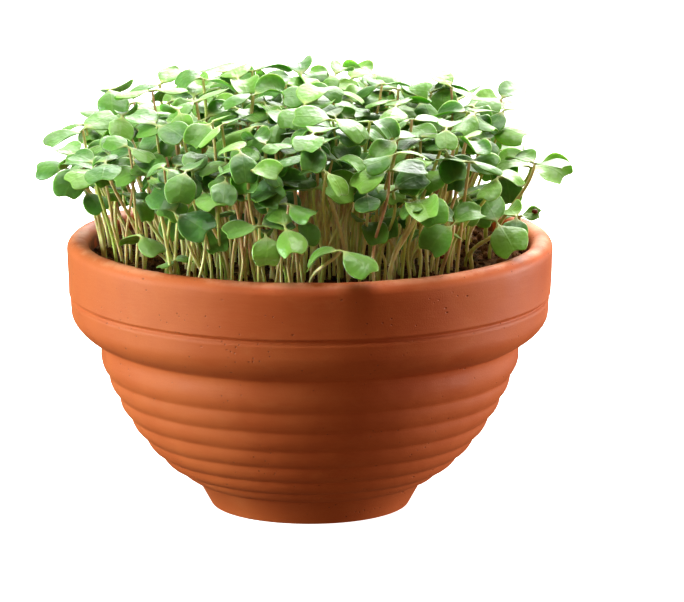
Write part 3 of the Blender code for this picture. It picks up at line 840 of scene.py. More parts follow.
@dataclass(frozen=True)
class Grower:
    """The rules of growth: how a plan becomes a sprout that has the most room round it."""

    sizes: SproutSizes = SproutSizes()
    root_collar: float = 1.0 * MM
    room: float = 6.0 * MM
    stem_markers: int = 20
    stem_rings: int = 3
    stem_bend: float = 0.4
    end_lean: float = 0.12
    end_rise: float = 0.3
    end_share: float = 0.35
    stalk_roll: float = 0.3
    level: float = 104.0 * MM
    relief: float = 1.4 * MM
    light_from: float = math.radians(-100.0)

    def root_top(self) -> float:
        """The height at which stems start to lean: just above the highest crumbs."""
        return self.level + self.relief + self.root_collar

    def leaf_stations(self, stand: Stand) -> tuple[Array, Array, Array]:
        """The stations of every stalk and blade.

        The steepness goes evenly from rise to spread over the stalk and from spread to droop over the blade,
        and each station lies one step on from the last, along its own direction.

        Returns:
            Points (n, 2, 6, 3), steepness (n, 2, 6) and share of the blade (6).
        """
        steps = np.arange(1, self.sizes.blade_steps + 1) / self.sizes.blade_steps
        blade = self.sizes.leaf_length * self.sizes.notch * stand.size[..., None]
        stalk = self.sizes.stalk_length * stand.size[..., None]
        distance = np.concatenate([0 * stalk, stalk, stalk + blade * steps], axis=-1)
        spread = stand.spread[..., None]
        steepness = np.concatenate([stand.rise[..., None], spread,
                                    spread + (stand.droop[..., None] - spread) * steps], axis=-1)
        tangent = steep_directions(stand.heading, steepness)
        moves = np.diff(distance, axis=-1, prepend=0.0)[..., None] * tangent
        points = stand.neck[:, None, None, :] + np.cumsum(moves, axis=-2)
        return points, steepness, np.concatenate([[0.0, 0.0], steps])

    def leaf_axes(self, tangent: Array, stand: Stand, share: Array) -> tuple[Array, Array]:
        """The across and above directions of leaf sections at shares of the blade.

        They are turned about the tangent by the leaf's roll, of which the stalk's end has a part.
        """
        roll = stand.roll[..., None] * np.minimum(1.0, share + self.stalk_roll)
        side = np.cross(UP, level_directions(stand.heading))[..., None, :]
        upright = unit(np.cross(tangent, np.cross(UP, tangent)))
        across = np.cos(roll)[..., None] * side + np.sin(roll)[..., None] * upright
        above = unit(upright - across * np.sum(upright * across, axis=-1, keepdims=True))
        return across, above

    def stem_points(self, stand: Stand, shares: Array) -> Array:
        """Points of each stem at shares t: a cubic curve that starts and ends steeply."""
        root = np.concatenate([stand.root, np.full((len(stand), 1), self.root_top())], axis=1)
        rise = (stand.neck - root)[:, 2:]
        bend = root + UP * rise * self.stem_bend
        reach = stand.neck - (stand.neck - root) * np.array([self.end_lean, self.end_lean, self.end_rise])
        t = shares[:, None]
        return ((1 - t) ** 3 * root[:, None] + 3 * t * (1 - t) ** 2 * bend[:, None]
                + 3 * t**2 * (1 - t) * reach[:, None] + t**3 * stand.neck[:, None])

    def markers(self, stand: Stand) -> Array:
        """Points spread over stems and leaves, which stand for the sprouts where clearances are compared."""
        rings = np.arange(self.stem_rings + 1) / (self.stem_rings + self.end_share)
        few = self.stem_points(stand, rings)
        places = np.linspace(0, self.stem_rings, self.stem_markers)
        weights = np.maximum(0.0, 1 - np.abs(places[:, None] - np.arange(self.stem_rings + 1)))
        stems = np.einsum("mk,nkd->nmd", weights, few)
        points, steepness, share = self.leaf_stations(stand)
        tangent = steep_directions(stand.heading, steepness)
        across, above = self.leaf_axes(tangent, stand, share)
        half = np.maximum(self.sizes.stalk_radius, self.sizes.half_width(share) * stand.size[..., None])
        slim = self.sizes.solid_thickness / 2 - self.sizes.stalk_radius
        thick = self.sizes.stalk_radius + slim * np.minimum(1.0, 3 * share)
        lobe = (self.sizes.lobe - self.sizes.notch) * self.sizes.leaf_length
        forward = lobe * stand.size[..., None] * share
        lift = above * thick[:, None]
        beside = across * half[..., None]
        ahead = tangent * forward[..., None]
        right, middle, left = points + beside + ahead + lift, points + lift, points - beside + ahead + lift
        spots = [right, (right + middle) / 2, middle, (middle + left) / 2, left]
        leaves = np.stack(spots, axis=-2)[:, :, 1:].reshape(len(stand), -1, 3)
        return np.concatenate([stems, leaves], axis=1)

    def clearances(self, markers: Array, standing: Array) -> Array:
        """How near each tried sprout's markers come to those that already stand, up to the room."""
        low = markers.min(axis=(0, 1)) - self.room
        high = markers.max(axis=(0, 1)) + self.room
        near = standing[((standing > low) & (standing < high)).all(axis=1)]
        if not len(near):
            return np.full(len(markers), self.room)
        middle = near.mean(axis=0)
        own, other = markers.reshape(-1, 3) - middle, near - middle
        squares = (own**2).sum(1)[:, None] + (other**2).sum(1)[None] - 2 * own @ other.T
        nearest = np.sqrt(np.maximum(squares.min(axis=1), 0.0)).reshape(len(markers), -1).min(axis=1)
        return np.minimum(self.room, nearest)

    def tried(self, plan: Seedling, ranges: GrowthRanges, tries: int) -> Stand:
        """All the ways in which a seedling might grow, drawn from its own seed."""
        draw = np.random.default_rng(plan.seed)
        raw = draw.random((tries, 16))
        neck = plan.neck + (2 * raw[:, :3] - 1) * ranges.lean * min(1.0, plan.freedom)
        turned = plan.heading + (2 * raw[:, 3:4] - 1) * plan.freedom + np.array([[0.0, math.pi]])
        leaf = raw[:, 4:].reshape(tries, 2, 6)

        def within(column: int, limits: tuple[float, float]) -> Array:
            """One column of draws, spread between two limits."""
            return limits[0] + (limits[1] - limits[0]) * leaf[..., column]

        zero = np.zeros((tries, 2))
        heading = turned + within(0, (-ranges.heading, ranges.heading))
        down = plan.tilt * np.cos(heading - self.light_from)
        over = plan.tilt * np.sin(heading - self.light_from)
        return Stand(
            root=np.repeat(plan.root[None, :2], tries, axis=0), neck=neck, heading=heading,
            rise=np.radians(within(1, ranges.rise)) - down,
            spread=np.radians(within(2, ranges.spread)) - down,
            droop=np.radians(within(3, ranges.droop)) - down,
            roll=np.radians(within(4, ranges.roll)) + over,
            size=plan.size * within(5, ranges.leaf_size), fold=zero, curl=zero, tint=zero)

    def grown(self, plan: Seedling, standing: Array, ranges: GrowthRanges, tries: int) -> Stand:
        """The sprout that a seedling becomes: the try that has the most room, and the last of equals."""
        tried = self.tried(plan, ranges, tries)
        room = self.clearances(self.markers(tried), standing)
        return tried.chosen([tries - 1 - int(np.argmax(room[::-1]))])


@dataclass(frozen=True)
class SproutBed:
    """The sown bed: the sprouts of the frame, and the plans of all the others.

    Names that start with more are for the rest of the stand, and with skirt for the short sprouts at its hem.
    Where such a name holds two numbers, a sprout gets the first and a random share of the second, but
    skirt_arc holds the two ends of an arc. Tilts, skirt_arc and skirt_step are in degrees, and scatter,
    skirt_lean and skirt_height in millimetres.
    """

    count: int = 43
    radius: float = 77.5 * MM
    shift: float = -3.0 * MM
    turn: float = math.radians(112.0)
    canopy: float = 70.0 * MM
    dome: float = 14.0 * MM
    tiers: int = 3
    tier_step: float = 8.5 * MM
    edge_lean: float = 18.0 * MM
    edge_freedom: float = 0.35
    root_spread: float = 1.5 * MM
    size_range: tuple[float, float] = (0.88, 1.08)
    tilt: float = 14.0
    tries: int = 100
    seed: int = 41
    more: int = 290
    more_tries: int = 26
    spare_plans: float = 1.35
    more_reach: float = 1.03
    more_turn: float = 0.7
    more_size: tuple[float, float] = (0.76, 0.34)
    more_tilt: float = 18.0
    front_reach: float = 0.06
    scatter: float = 1.8
    closest_roots: float = 2.6 * MM
    lost_height: float = 34.0 * MM
    lost_in_front: float = 10.0 * MM
    lost_behind: float = 5.0 * MM
    shortest: float = 26.0 * MM
    lean_turn: float = 1.2
    slack: float = 9.0 * MM
    outermost_lean: float = 8.0 * MM
    held_in_front: float = 0.3
    bare_middle: float = 3.0 * MM
    bare_beyond: float = 64.0 * MM
    bare_depth: float = 14.0 * MM
    skirt_arc: tuple[float, float] = (-195.0, -42.0)
    skirt_count: int = 44
    skirt_share: tuple[float, float] = (0.93, 0.15)
    skirt_step: float = 2.0
    skirt_crowding: float = 0.8
    skirt_lean: tuple[float, float] = (3.0, 9.0)
    skirt_height: tuple[float, float] = (33.0, 22.0)
    skirt_size: tuple[float, float] = (0.75, 0.35)
    skirt_tilt: tuple[float, float] = (15.0, 28.0)
    skirt_shyness: float = 0.7
    skirt_ranges: GrowthRanges = GrowthRanges(rise=(10, 50), spread=(-15, 20), droop=(-50, 5), roll=(-30, 30),
                                              lean=6.0 * MM)
    clumps: int = 27
    zones: tuple[float, float] = (0.45, 0.78)
    grower: Grower = Grower()

    # Sprouts that stand out at the edge: name, root (a share of the bed's radius and an angle), how far the
    # neck stands from the root along X, Y and up from the soil, the first leaf's heading, the leaves' size,
    # and how far they are tilted towards the light
    EDGE = (
        ("sprout_over_left_rim", 1.05, 186.0, (-13.0, 5.0, 43.0), 118.0, 1.0, 20.0),
        ("sprout_over_right_rim", 1.02, 16.0, (18.0, -20.0, 35.0), -12.0, 1.05, 25.0),
        ("sprout_arching_right", 0.96, -22.0, (9.0, -12.0, 19.0), -38.0, 1.10, 38.0),
        ("sprout_small_right", 1.05, 3.0, (8.0, -6.0, 17.0), 8.0, 0.55, 20.0),
        ("sprout_over_front_rim", 0.98, -93.0, (-1.0, -14.0, 29.0), -84.0, 1.0, 40.0),
        ("sprout_over_back_rim", 0.97, 88.0, (2.0, 13.0, 44.0), 84.0, 1.0, 0.0),
        ("sprout_low_front", 1.01, -133.0, (1.0, -2.0, 8.0), -160.0, 0.5, 14.0),
        ("sprout_front_left", 1.0, -119.0, (-11.0, -10.0, 32.0), -35.0, 1.08, 52.0),
        ("sprout_front_butterfly", 0.95, -104.0, (-3.0, -9.0, 39.0), -8.0, 1.0, 55.0),
        ("sprout_front_middle", 0.97, -84.0, (-4.0, -5.0, 42.0), 12.0, 1.12, 48.0),
        ("sprout_front_right", 0.97, -66.0, (6.0, -9.0, 40.0), 172.0, 1.05, 50.0),
        ("sprout_front_far_right", 1.0, -44.0, (5.0, -15.0, 28.0), 20.0, 0.95, 52.0),
    )

    def on_bed(self, share: float, angle: float) -> Array:
        """A level point of the bed, at a share of its radius and an angle."""
        return level_directions(np.array(angle)) * self.radius * share + np.array([self.shift, 0.0, 0.0])

    def planned_edge(self) -> list[Seedling]:
        """The seedlings that stand out at the edge."""
        plans = []
        for number, (name, share, degrees, offset, heading, size, tilt) in enumerate(self.EDGE):
            root = self.on_bed(share, math.radians(degrees))
            neck = root + np.array(offset) * MM + UP * self.grower.level
            plans.append(Seedling(name, root, neck, math.radians(heading), self.edge_freedom, size,
                                  math.radians(tilt), self.seed - number - 1))
        return plans

    def planned_bed(self) -> list[Seedling]:
        """The frame's seedlings over the bed, in a sunflower's spiral and in tiers."""
        plans = []
        for number in range(self.count):
            draw = np.random.default_rng(self.seed + number)
            share = math.sqrt((number + 0.5) / self.count)
            angle = number * GOLDEN_ANGLE + self.turn
            jitter = np.append(draw.uniform(-self.root_spread, self.root_spread, 2), 0.0)
            root = self.on_bed(share, angle) + jitter
            height = self.canopy - self.dome * share**2 - self.tier_step * (number % self.tiers)
            outward = level_directions(np.array(angle))
            neck = root + outward * self.edge_lean * share**3 + UP * (self.grower.level + height)
            size = draw.uniform(*self.size_range)
            plans.append(Seedling(f"sprout_{number + 1:02d}", root, neck, angle, math.pi, size,
                                  math.radians(self.tilt), self.seed + number))
        return plans

    def frame_sprouts(self) -> tuple[list[str], Stand, Array]:
        """The sprouts that the frame has, by the same rules and draws.

        Returns:
            Their names, the stand, and the markers of what already stands.
        """
        plans = self.planned_edge() + self.planned_bed()
        later = [np.linspace(plan.root + UP * self.grower.level, plan.neck, self.grower.stem_markers)
                 for plan in plans]
        stands, standing = [], np.zeros((0, 3))
        for number, plan in enumerate(plans):
            around = np.concatenate([standing, *later[number + 1:]])
            stands.append(self.grower.grown(plan, around, GrowthRanges(), self.tries))
            standing = np.concatenate([standing, self.grower.markers(stands[-1])[0]])
        return [plan.name for plan in plans], Stand.joined(stands), standing

    def planned_rest(self, taken: Array) -> list[tuple[Seedling, GrowthRanges]]:
        """The plans of the rest of the stand.

        Roots follow a denser sunflower's spiral and leave out places close to a root that is taken, and those
        at the two sides of the bed's front. The height falls with the square of the share of the radius, and
        a random part of it is lost, more often a little than a lot. The outer ones lean out, and their leaves
        hang steeper.
        """
        draw = np.random.default_rng(self.seed * 100)
        plans = []
        spiral = np.arange(int(self.more * self.spare_plans))
        for number in spiral:
            share = math.sqrt((number + 0.5) / len(spiral)) * self.more_reach
            angle = number * GOLDEN_ANGLE + self.more_turn
            front = max(0.0, -math.sin(angle)) ** 1.5
            back = max(0.0, math.sin(angle))
            scatter = draw.uniform(-self.scatter, self.scatter, 2) * MM
            root = self.on_bed(share * (1 + self.front_reach * front), angle) + np.append(scatter, 0.0)
            chance = draw.uniform(0.0, 1.0, 6)
            bare = abs(root[0] - self.bare_middle) > self.bare_beyond and root[1] < self.bare_depth
            if bare or self.crowded(root, taken, self.closest_roots):
                continue
            taken = np.concatenate([taken, root[None, :2]])
            lost = self.lost_height * chance[0] ** 1.6 * (0.6 + 0.6 * share**2)
            lost += self.lost_in_front * front * share**6 * chance[0]
            height = self.canopy - self.dome * share**2 - lost - self.lost_behind * back * share
            lean = level_directions(np.array(angle + (chance[1] - 0.5) * self.lean_turn))
            slack = self.slack * (2 * chance[2:4] - 1)
            outwards = self.edge_lean * share**3 * (1 - self.held_in_front * front)
            outwards += self.outermost_lean * share**6 * chance[4]
            rise = UP * (self.grower.level + max(self.shortest, height))
            neck = root + lean * outwards + np.append(slack, 0.0) + rise
            plan = Seedling(f"more_{len(plans):03d}", root, neck, angle, math.pi,
                            self.share_of(self.more_size, chance[5]), math.radians(self.more_tilt),
                            self.seed * 1000 + int(number))
            plans.append((plan, self.hanging_ranges(share**4)))
        return plans[: self.more] + self.planned_skirt(taken)

    @staticmethod
    def crowded(root: Array, taken: Array, closest: float) -> bool:
        """Whether a root would stand too close to one that is taken."""
        return bool(np.linalg.norm(taken - root[:2], axis=1).min() < closest)

    @staticmethod
    def share_of(run: tuple[float, float], chance: float) -> float:
        """A value drawn from a start and a length."""
        return run[0] + run[1] * chance

    @staticmethod
    def hanging_ranges(hang: float) -> GrowthRanges:
        """How a sprout may grow whose leaves hang by a share from 0 in the middle to 1 at the edge."""
        return GrowthRanges(rise=(15, 50), spread=(-15 - 15 * hang, 20 - 20 * hang),
                            droop=(-60 - 20 * hang, 5 - 20 * hang), roll=(-35, 35), lean=6.5 * MM)

    def planned_skirt(self, taken: Array) -> list[tuple[Seedling, GrowthRanges]]:
        """The plans of the short sprouts that hem the bed's front and left, close to the wall.

        They stand in an arc of even steps, lean out over the wall and turn their leaves to the light. Those
        in front lean out least.
        """
        draw = np.random.default_rng(self.seed * 200)
        plans = []
        for number, degrees in enumerate(np.linspace(*self.skirt_arc, self.skirt_count)):
            chance = draw.uniform(0.0, 1.0, 6)
            angle = math.radians(degrees + self.skirt_step * chance[0])
            root = self.on_bed(self.share_of(self.skirt_share, chance[1]), angle)
            if self.crowded(root, taken, self.closest_roots * self.skirt_crowding):
                continue
            taken = np.concatenate([taken, root[None, :2]])
            shy = 1.0 - self.skirt_shyness * max(0.0, -math.sin(angle))
            reach = level_directions(np.array(angle)) * MM * self.share_of(self.skirt_lean, chance[2]) * shy
            height = MM * self.share_of(self.skirt_height, chance[3])
            neck = root + reach + UP * (self.grower.level + height)
            plan = Seedling(f"skirt_{number:02d}", root, neck, angle, math.pi,
                            self.share_of(self.skirt_size, chance[4]),
                            math.radians(self.share_of(self.skirt_tilt, chance[5])),
                            self.seed * 3000 + number)
            plans.append((plan, self.skirt_ranges))
        return plans

    def rest_of_stand(self, taken: Array, standing: Array) -> tuple[Stand, Array]:
        """The rest of the stand, each sprout clear of those grown before it, and all markers in the end."""
        stands = []
        for plan, ranges in self.planned_rest(taken):
            stands.append(self.grower.grown(plan, standing, ranges, self.more_tries))
            standing = np.concatenate([standing, self.grower.markers(stands[-1])[0]])
        return Stand.joined(stands), standing


# ---------------------------------------------------------------- what a sprout looks like


@dataclass(frozen=True)
class Fineness:
    """How finely a sprout is modelled."""

    blade_points: int
    blade_rows: int
    stem_sides: int
    stem_rings: int


class Detail(Enum):
    """The finenesses of the frame's sprouts and of those that grow between them."""

    FINE = Fineness(blade_points=5, blade_rows=8, stem_sides=8, stem_rings=12)
    PLAIN = Fineness(blade_points=3, blade_rows=6, stem_sides=5, stem_rings=8)


@dataclass(frozen=True)
class LeafFinish:
    """Living kale seedlings: waxy green blades, paler veins, rims painted lighter for the glow of light
    through their thin edges, and stems from white to rosy brown.
    """

    blade: Colour = (0.125, 0.292, 0.038)
    deep: Colour = (0.062, 0.185, 0.034)
    young: Colour = (0.215, 0.415, 0.060)
    # Pale green of the veins, and of the rims, where it is a painted glow of light through the thin edge
    rim: Colour = (0.36, 0.56, 0.08)
    under: Colour = (0.20, 0.38, 0.06)
    stem_base: Colour = (0.86, 0.82, 0.38)
    stem_top: Colour = (0.78, 0.72, 0.30)
    stem_green: Colour = (0.54, 0.66, 0.17)
    stem_flush: Colour = (0.62, 0.33, 0.19)

    def material(self) -> bpy.types.Material:
        """The finish of every sprout.

        The mesh keeps three labels: "lie" is how far a point lies across and along its blade or up its stem,
        in metres; "part" is how leafy it is, the nearness to its rim and the underside's share; "draw" is the
        leaf's tint, and the stem's flush and freshness.
        """
        mix = Recipe("kale_seedling")
        across, along, _ = mix.trait("lie")
        blade, rim, under = mix.trait("part")
        tint, flush, fresh = mix.trait("draw")
        where = mix.places()
        cloud = mix.noise(where, 130.0, 3.0)
        green = mix.mix(mix.between(tint, 0.0, 0.55), self.deep, self.blade)
        green = mix.mix(mix.between(tint, 0.55, 1.0), green, self.young)
        green = mix.mix(mix.between(cloud, 0.35, 0.7, 0.0, 0.3), green, self.young)
        veins = self.veins(mix, across, along)
        green = mix.mix(mix.sum("MULTIPLY", veins, 0.07), green, self.rim)
        green = mix.mix(mix.sum("MULTIPLY", under, 0.6), green, self.under)
        # Painted light: blades lighten towards their rims, for the glow of light through the thin edge
        green = mix.mix(mix.between(rim, 0.75, 1.0, 0.0, 0.42), green, self.rim)
        streak = mix.noise(mix.places((1.0, 1.0, 0.12)), 900.0, 2.0)
        stem = mix.mix(mix.between(along, 2.0 * MM, 55.0 * MM), self.stem_base, self.stem_top)
        stem = mix.mix(mix.between(fresh, 0.45, 0.95), stem, self.stem_green)
        rosy = mix.sum("MULTIPLY", flush, mix.between(streak, 0.25, 0.75, 0.55, 1.15))
        rosy = mix.sum("MULTIPLY", rosy, mix.between(along, 0.0, 22.0 * MM, 0.35, 1.0))
        stem = mix.mix(mix.sum("MINIMUM", rosy, 1.0), stem, self.stem_flush)
        colour = mix.mix(blade, stem, green)
        fine = mix.noise(where, 2600.0, 2.0)
        swell = mix.bump(mix.noise(where, 180.0, 2.0), 1.5 * MM, 0.6)
        ridges = mix.bump(veins, 0.14 * MM, 0.35, under=swell)
        relief = mix.bump(fine, 0.07 * MM, 0.3, under=ridges)
        rough = mix.between(cloud, 0.3, 0.7, 0.35, 0.48)
        mix.finish(Base_Color=colour, Roughness=rough, Normal=relief, Specular_IOR_Level=0.52,
                   Subsurface_Weight=0.35, Subsurface_Scale=1.0 * MM, Sheen_Weight=0.3, Sheen_Roughness=0.45)
        mix.shader.inputs["Subsurface Radius"].default_value = (0.55, 1.0, 0.25)
        return mix.material

    def veins(self, mix: Recipe, across: Socket, along: Socket) -> Socket:
        """The midrib, and side veins that leave it forwards: a wave of along - 0.75 |across|, cut narrow."""
        wide = mix.sum("ABSOLUTE", across)
        midrib = mix.between(wide, 0.12 * MM, 0.5 * MM, 1.0, 0.0)
        slant = mix.sum("SUBTRACT", along, mix.sum("MULTIPLY", wide, 0.75))
        wave = mix.sum("ABSOLUTE", mix.sum("SINE", mix.sum("MULTIPLY", slant, math.pi / (3.3 * MM))))
        side = mix.sum("MULTIPLY", mix.between(wave, 0.0, 0.16, 1.0, 0.0),
                       mix.between(wide, 5.5 * MM, 7.0 * MM, 0.55, 0.0))
        return mix.sum("MAXIMUM", midrib, side)


@dataclass(frozen=True)
class SproutModeller:
    """Makes meshes of sprouts: one closed band from leaf tip to leaf tip, and one closed stem under it."""

    grower: Grower
    detail: Detail
    fold: tuple[float, float] = (-14.0, 30.0)
    curl: tuple[float, float] = (-60.0, 25.0)
    lopsided: float = 0.10
    wave: float = 0.7 * MM
    young_below: float = 128.0 * MM
    young_over: float = 10.0 * MM
    stalk_green: float = 0.6
    stalk_rows: tuple[float, float] = (0.1, 0.3)
    first_blade_row: float = 0.46
    blade_from: float = 0.12
    sway: float = 1.5 * MM
    buried: float = 4.0 * MM
    neck_overlap: float = 0.35 * MM
    stem_taper: float = 0.16
    girth: tuple[float, float] = (0.82, 1.12)
    # Large numbers that make a number which looks random out of a root's place
    HASH = (9137.0, 5711.0, 43758.5453)

    def loop(self) -> tuple[Array, Array]:
        """Where a section's points lie across, from 1 at one rim to -1 at the other, and above or below."""
        inner = self.detail.value.blade_points
        t = np.linspace(1.0, -1.0, inner + 2)[1:-1]
        t = np.sign(t) * np.abs(t) ** 0.85
        across = np.concatenate([[1.0], t, [-1.0], t[::-1]])
        above = np.concatenate([[0.0], np.ones(inner), [0.0], -np.ones(inner)])
        return across, above

    def rows(self) -> Array:
        """Where sections stand, numbered as the grower's stations: two on the stalk, then the blade's."""
        share = np.linspace(0.0, 1.0, self.detail.value.blade_rows)
        run = self.grower.sizes.blade_steps + 1 - self.first_blade_row
        blade = self.first_blade_row + run * (0.5 - 0.5 * np.cos(math.pi * share**0.95))
        return np.concatenate([self.stalk_rows, blade])

    def blades(self, stand: Stand, draw: np.random.Generator) -> tuple[Array, dict[str, Array]]:
        """Points of every stalk and blade, (n, 2, rows, loop, 3), and their labels.

        Args:
            stand: The sprouts.
            draw: Source of each leaf's uneven halves and waves.

        Returns:
            The points, and the labels in the same layout.
        """
        sizes = self.grower.sizes
        rows = self.rows()
        middle, tangent = self.spines(stand, rows)
        share = sizes.blade_shares(rows)
        across, above = self.grower.leaf_axes(tangent, stand, share)
        t, side = self.loop()
        size = stand.size[..., None, None]
        scale = np.clip(share / self.blade_from, 0.0, 1.0)[:, None]
        half = np.maximum(sizes.slim_stalk * (1 - 0.1 * scale), sizes.half_width(share)[:, None] * size)
        lopsided = draw.uniform(-self.lopsided, self.lopsided, stand.size.shape)[..., None, None]
        width = half * t * (1 + lopsided * np.sign(t))
        lobes = 0.02 * t**2 + 0.72 * share[:, None] ** 2 * t**2 * (1 - t**2)
        forward = sizes.leaf_length * size * share[:, None] * lobes
        fold = stand.fold[..., None, None] * np.clip(share / 0.3, 0.0, 1.0)[:, None]
        bend = stand.curl[..., None, None] * np.abs(width) / (sizes.leaf_width / 2)
        angle = 1.3 * fold * np.abs(t) + bend / 2
        chord = np.abs(width) * np.sinc(bend / 2 / math.pi)
        beside = np.sign(t) * chord * np.cos(angle)
        wavy = draw.uniform(0.3, 1.0, stand.size.shape)[..., None, None] * self.wave
        phase = draw.uniform(0.0, 2 * math.pi, stand.size.shape)[..., None, None]
        ripple = wavy * scale * t**4 * np.sin(phase + 7.0 * share[:, None] + 1.4 * np.sign(t))
        height = chord * np.sin(angle) + ripple
        blade_thick = sizes.thickness / 2 * (1 - 0.45 * t**2)
        stalk_thick = sizes.slim_stalk * (1 - scale) * np.sqrt(np.maximum(0.0, 1 - 0.55 * t**2))
        height = height + side * (stalk_thick + blade_thick * scale)
        points = (middle[..., None, :] + across[..., None, :] * beside[..., None]
                  + above[..., None, :] * height[..., None] + tangent[..., None, :] * forward[..., None])
        shape = points.shape[:-1]
        along = share[:, None] * sizes.leaf_length * size + forward + 60.0 * MM * (1 - scale)
        tip = np.where(np.arange(len(share)) == len(share) - 1, 1.0, 0.0)[:, None]
        edge = np.maximum(np.abs(t) ** 5, tip)
        leafy = self.stalk_green + (1 - self.stalk_green) * scale

        def label(*values: Array) -> Array:
            """Three values as one label in the points' layout."""
            return np.stack([np.broadcast_to(value, shape) for value in values], axis=-1)

        return points, {"lie": label(width, along, 0.0), "part": label(leafy, edge * scale, (1 - side) / 2)}

    def spines(self, stand: Stand, rows: Array) -> tuple[Array, Array]:
        """Middle points and directions of every stalk and blade at some rows, (n, 2, rows, 3) each.

        The points are read from a smooth run through the stations, and the directions from two places close
        together on it.
        """
        few, _, _ = self.grower.leaf_stations(stand)
        count = few.shape[2]
        ahead = smooth_weights(np.minimum(rows + 0.05, count - 1), count)
        behind = smooth_weights(np.maximum(rows - 0.05, 0.0), count)
        middle = np.einsum("rk,nlkd->nlrd", smooth_weights(rows, count), few)
        return middle, unit(np.einsum("rk,nlkd->nlrd", ahead - behind, few))

    def bands(self, stand: Stand, draw: np.random.Generator) -> tuple[Array, list[Array], dict[str, Array]]:
        """The closed bands from leaf tip to leaf tip: the first leaf reversed, then the second.

        Returns:
            Points (n * each, 3), faces and labels.
        """
        points, labels = self.blades(stand, draw)
        count, _, rows, around = points.shape[:4]
        mirror = np.concatenate([[around // 2], np.arange(around // 2 - 1, 0, -1), [0],
                                 np.arange(around - 1, around // 2, -1)])

        def band(values: Array) -> Array:
            """Both leaves' sections in one run, with the first leaf's turned round."""
            first = values[:, 0, ::-1][:, :, mirror]
            return np.concatenate([first, values[:, 1]], axis=1)

        grid = band(points)
        long = grid.shape[1]
        ends = self.end_faces(around)
        skin = grid_faces(long, around, wrap=True)
        last = (long - 1) * around
        each = long * around
        faces = [repeated(skin, each, count)]
        faces += [repeated(kind[:, ::-1], each, count) for kind in ends]
        faces += [repeated(kind + last, each, count) for kind in ends]
        wide = {key: band(value).reshape(-1, 3) for key, value in labels.items()}
        tints = np.concatenate([np.repeat(stand.tint[:, :1, None], rows, axis=1),
                                np.repeat(stand.tint[:, 1:2, None], rows, axis=1)], axis=1)
        draws = np.concatenate([tints, 0.25 * np.repeat(self.flush(stand)[:, None, None], long, axis=1),
                                np.zeros((count, long, 1))], axis=-1)
        wide["draw"] = np.repeat(draws[:, :, None], around, axis=2).reshape(-1, 3)
        return grid.reshape(-1, 3), faces, wide

    def flush(self, stand: Stand) -> Array:
        """How rosy each stem is, from 0 to 1: the fraction of a large sine of its root's place."""
        first, second, large = self.HASH
        mixed = np.sin(stand.root[:, 0] * first + stand.root[:, 1] * second) * large
        return (mixed - np.floor(mixed)) ** 1.1

    @staticmethod
    def end_faces(around: int) -> list[Array]:
        """The faces that close a flat section: a strip from rim to rim, with a triangle at each end."""
        half = around // 2
        j = np.arange(1, half - 1)
        strip = np.stack([j, j + 1, around - j - 1, around - j], axis=1)
        corners = np.array([[0, 1, around - 1], [half - 1, half, half + 1]])
        return [strip, corners]

    def stems(self, stand: Stand, draw: np.random.Generator) -> tuple[Array, list[Array], dict[str, Array]]:
        """The closed stems: a tube from under the soil to the neck, with a slow double bend.

        Returns:
            Points (n * each, 3), faces and labels.
        """
        sides, rings = self.detail.value.stem_sides, self.detail.value.stem_rings
        sizes = self.grower.sizes
        count = len(stand)
        shares = np.linspace(0.0, 1.0, rings)
        path = self.grower.stem_points(stand, shares)
        sway = draw.uniform(-self.sway, self.sway, (count, 2, 1, 2))
        waves = np.stack([np.sin(math.pi * shares), np.sin(2 * math.pi * shares)])[None, :, :, None]
        path[..., :2] += (sway * waves).sum(axis=1)
        buried = path[:, :1] * (1.0, 1.0, 0.0) + UP * (self.grower.level - self.buried)
        over = path[:, -1:] + UP * self.neck_overlap
        path = np.concatenate([buried, path, over], axis=1)
        slim = np.concatenate([[1.0], 1.0 - self.stem_taper * shares, [0.6]])
        girth = draw.uniform(*self.girth, count)[:, None] * sizes.stem_radius * slim
        points = tubes(path, girth, sides)
        long = rings + 2
        each = long * sides
        faces = [repeated(grid_faces(long, sides, wrap=True), each, count)]
        faces += [repeated(cap, each, count) for cap in ring_caps(long, sides)]
        shape = points.shape[:-1]
        height = np.broadcast_to((path[..., 2] - self.grower.level)[..., None], shape)
        lie = np.stack([np.zeros(shape), np.maximum(height, 0.0), np.zeros(shape)], axis=-1)
        flush = np.broadcast_to(self.flush(stand)[:, None, None], shape)
        fresh = np.broadcast_to(draw.uniform(0.0, 1.0, count)[:, None, None], shape)
        draws = np.stack([np.full(shape, 0.5), flush, fresh], axis=-1)
        labels = {"lie": lie, "part": np.zeros((*shape, 3)), "draw": draws}
        return points.reshape(-1, 3), faces, {key: value.reshape(-1, 3) for key, value in labels.items()}

    def piece(self, name: str, stand: Stand, seed: int, finish: bpy.types.Material) -> bpy.types.Object:
        """One piece of one or more sprouts.

        Args:
            name: The piece's name.
            stand: Its sprouts.
            seed: Seed of the small differences between leaves.
            finish: The material.

        Returns:
            The piece.
        """
        draw = np.random.default_rng(seed)
        shape = stand.size.shape
        low = np.clip((self.young_below - stand.neck[:, 2:]) / self.young_over, 0.0, 1.0)
        shaped = replace(stand, fold=np.radians(draw.uniform(*self.fold, shape)),
                         curl=np.radians(draw.uniform(*self.curl, shape)),
                         tint=np.minimum(1.0, draw.uniform(0.0, 1.0, shape) + low))
        parts = [self.bands(shaped, draw), self.stems(shaped, draw)]
        points = [part[0] for part in parts]
        faces = [turned_outward(part[0], part[1]) for part in parts]
        shifted = faces[0] + [kind + len(points[0]) for kind in faces[1]]
        labels = {key: np.concatenate([part[2][key] for part in parts]) for key in parts[0][2]}
        made = mesh_piece(name, np.concatenate(points), shifted, labels)
        smoother = made.modifiers.new("smoother", "SUBSURF")
        smoother.levels = smoother.render_levels = 1
        made.data.materials.append(finish)
        return made


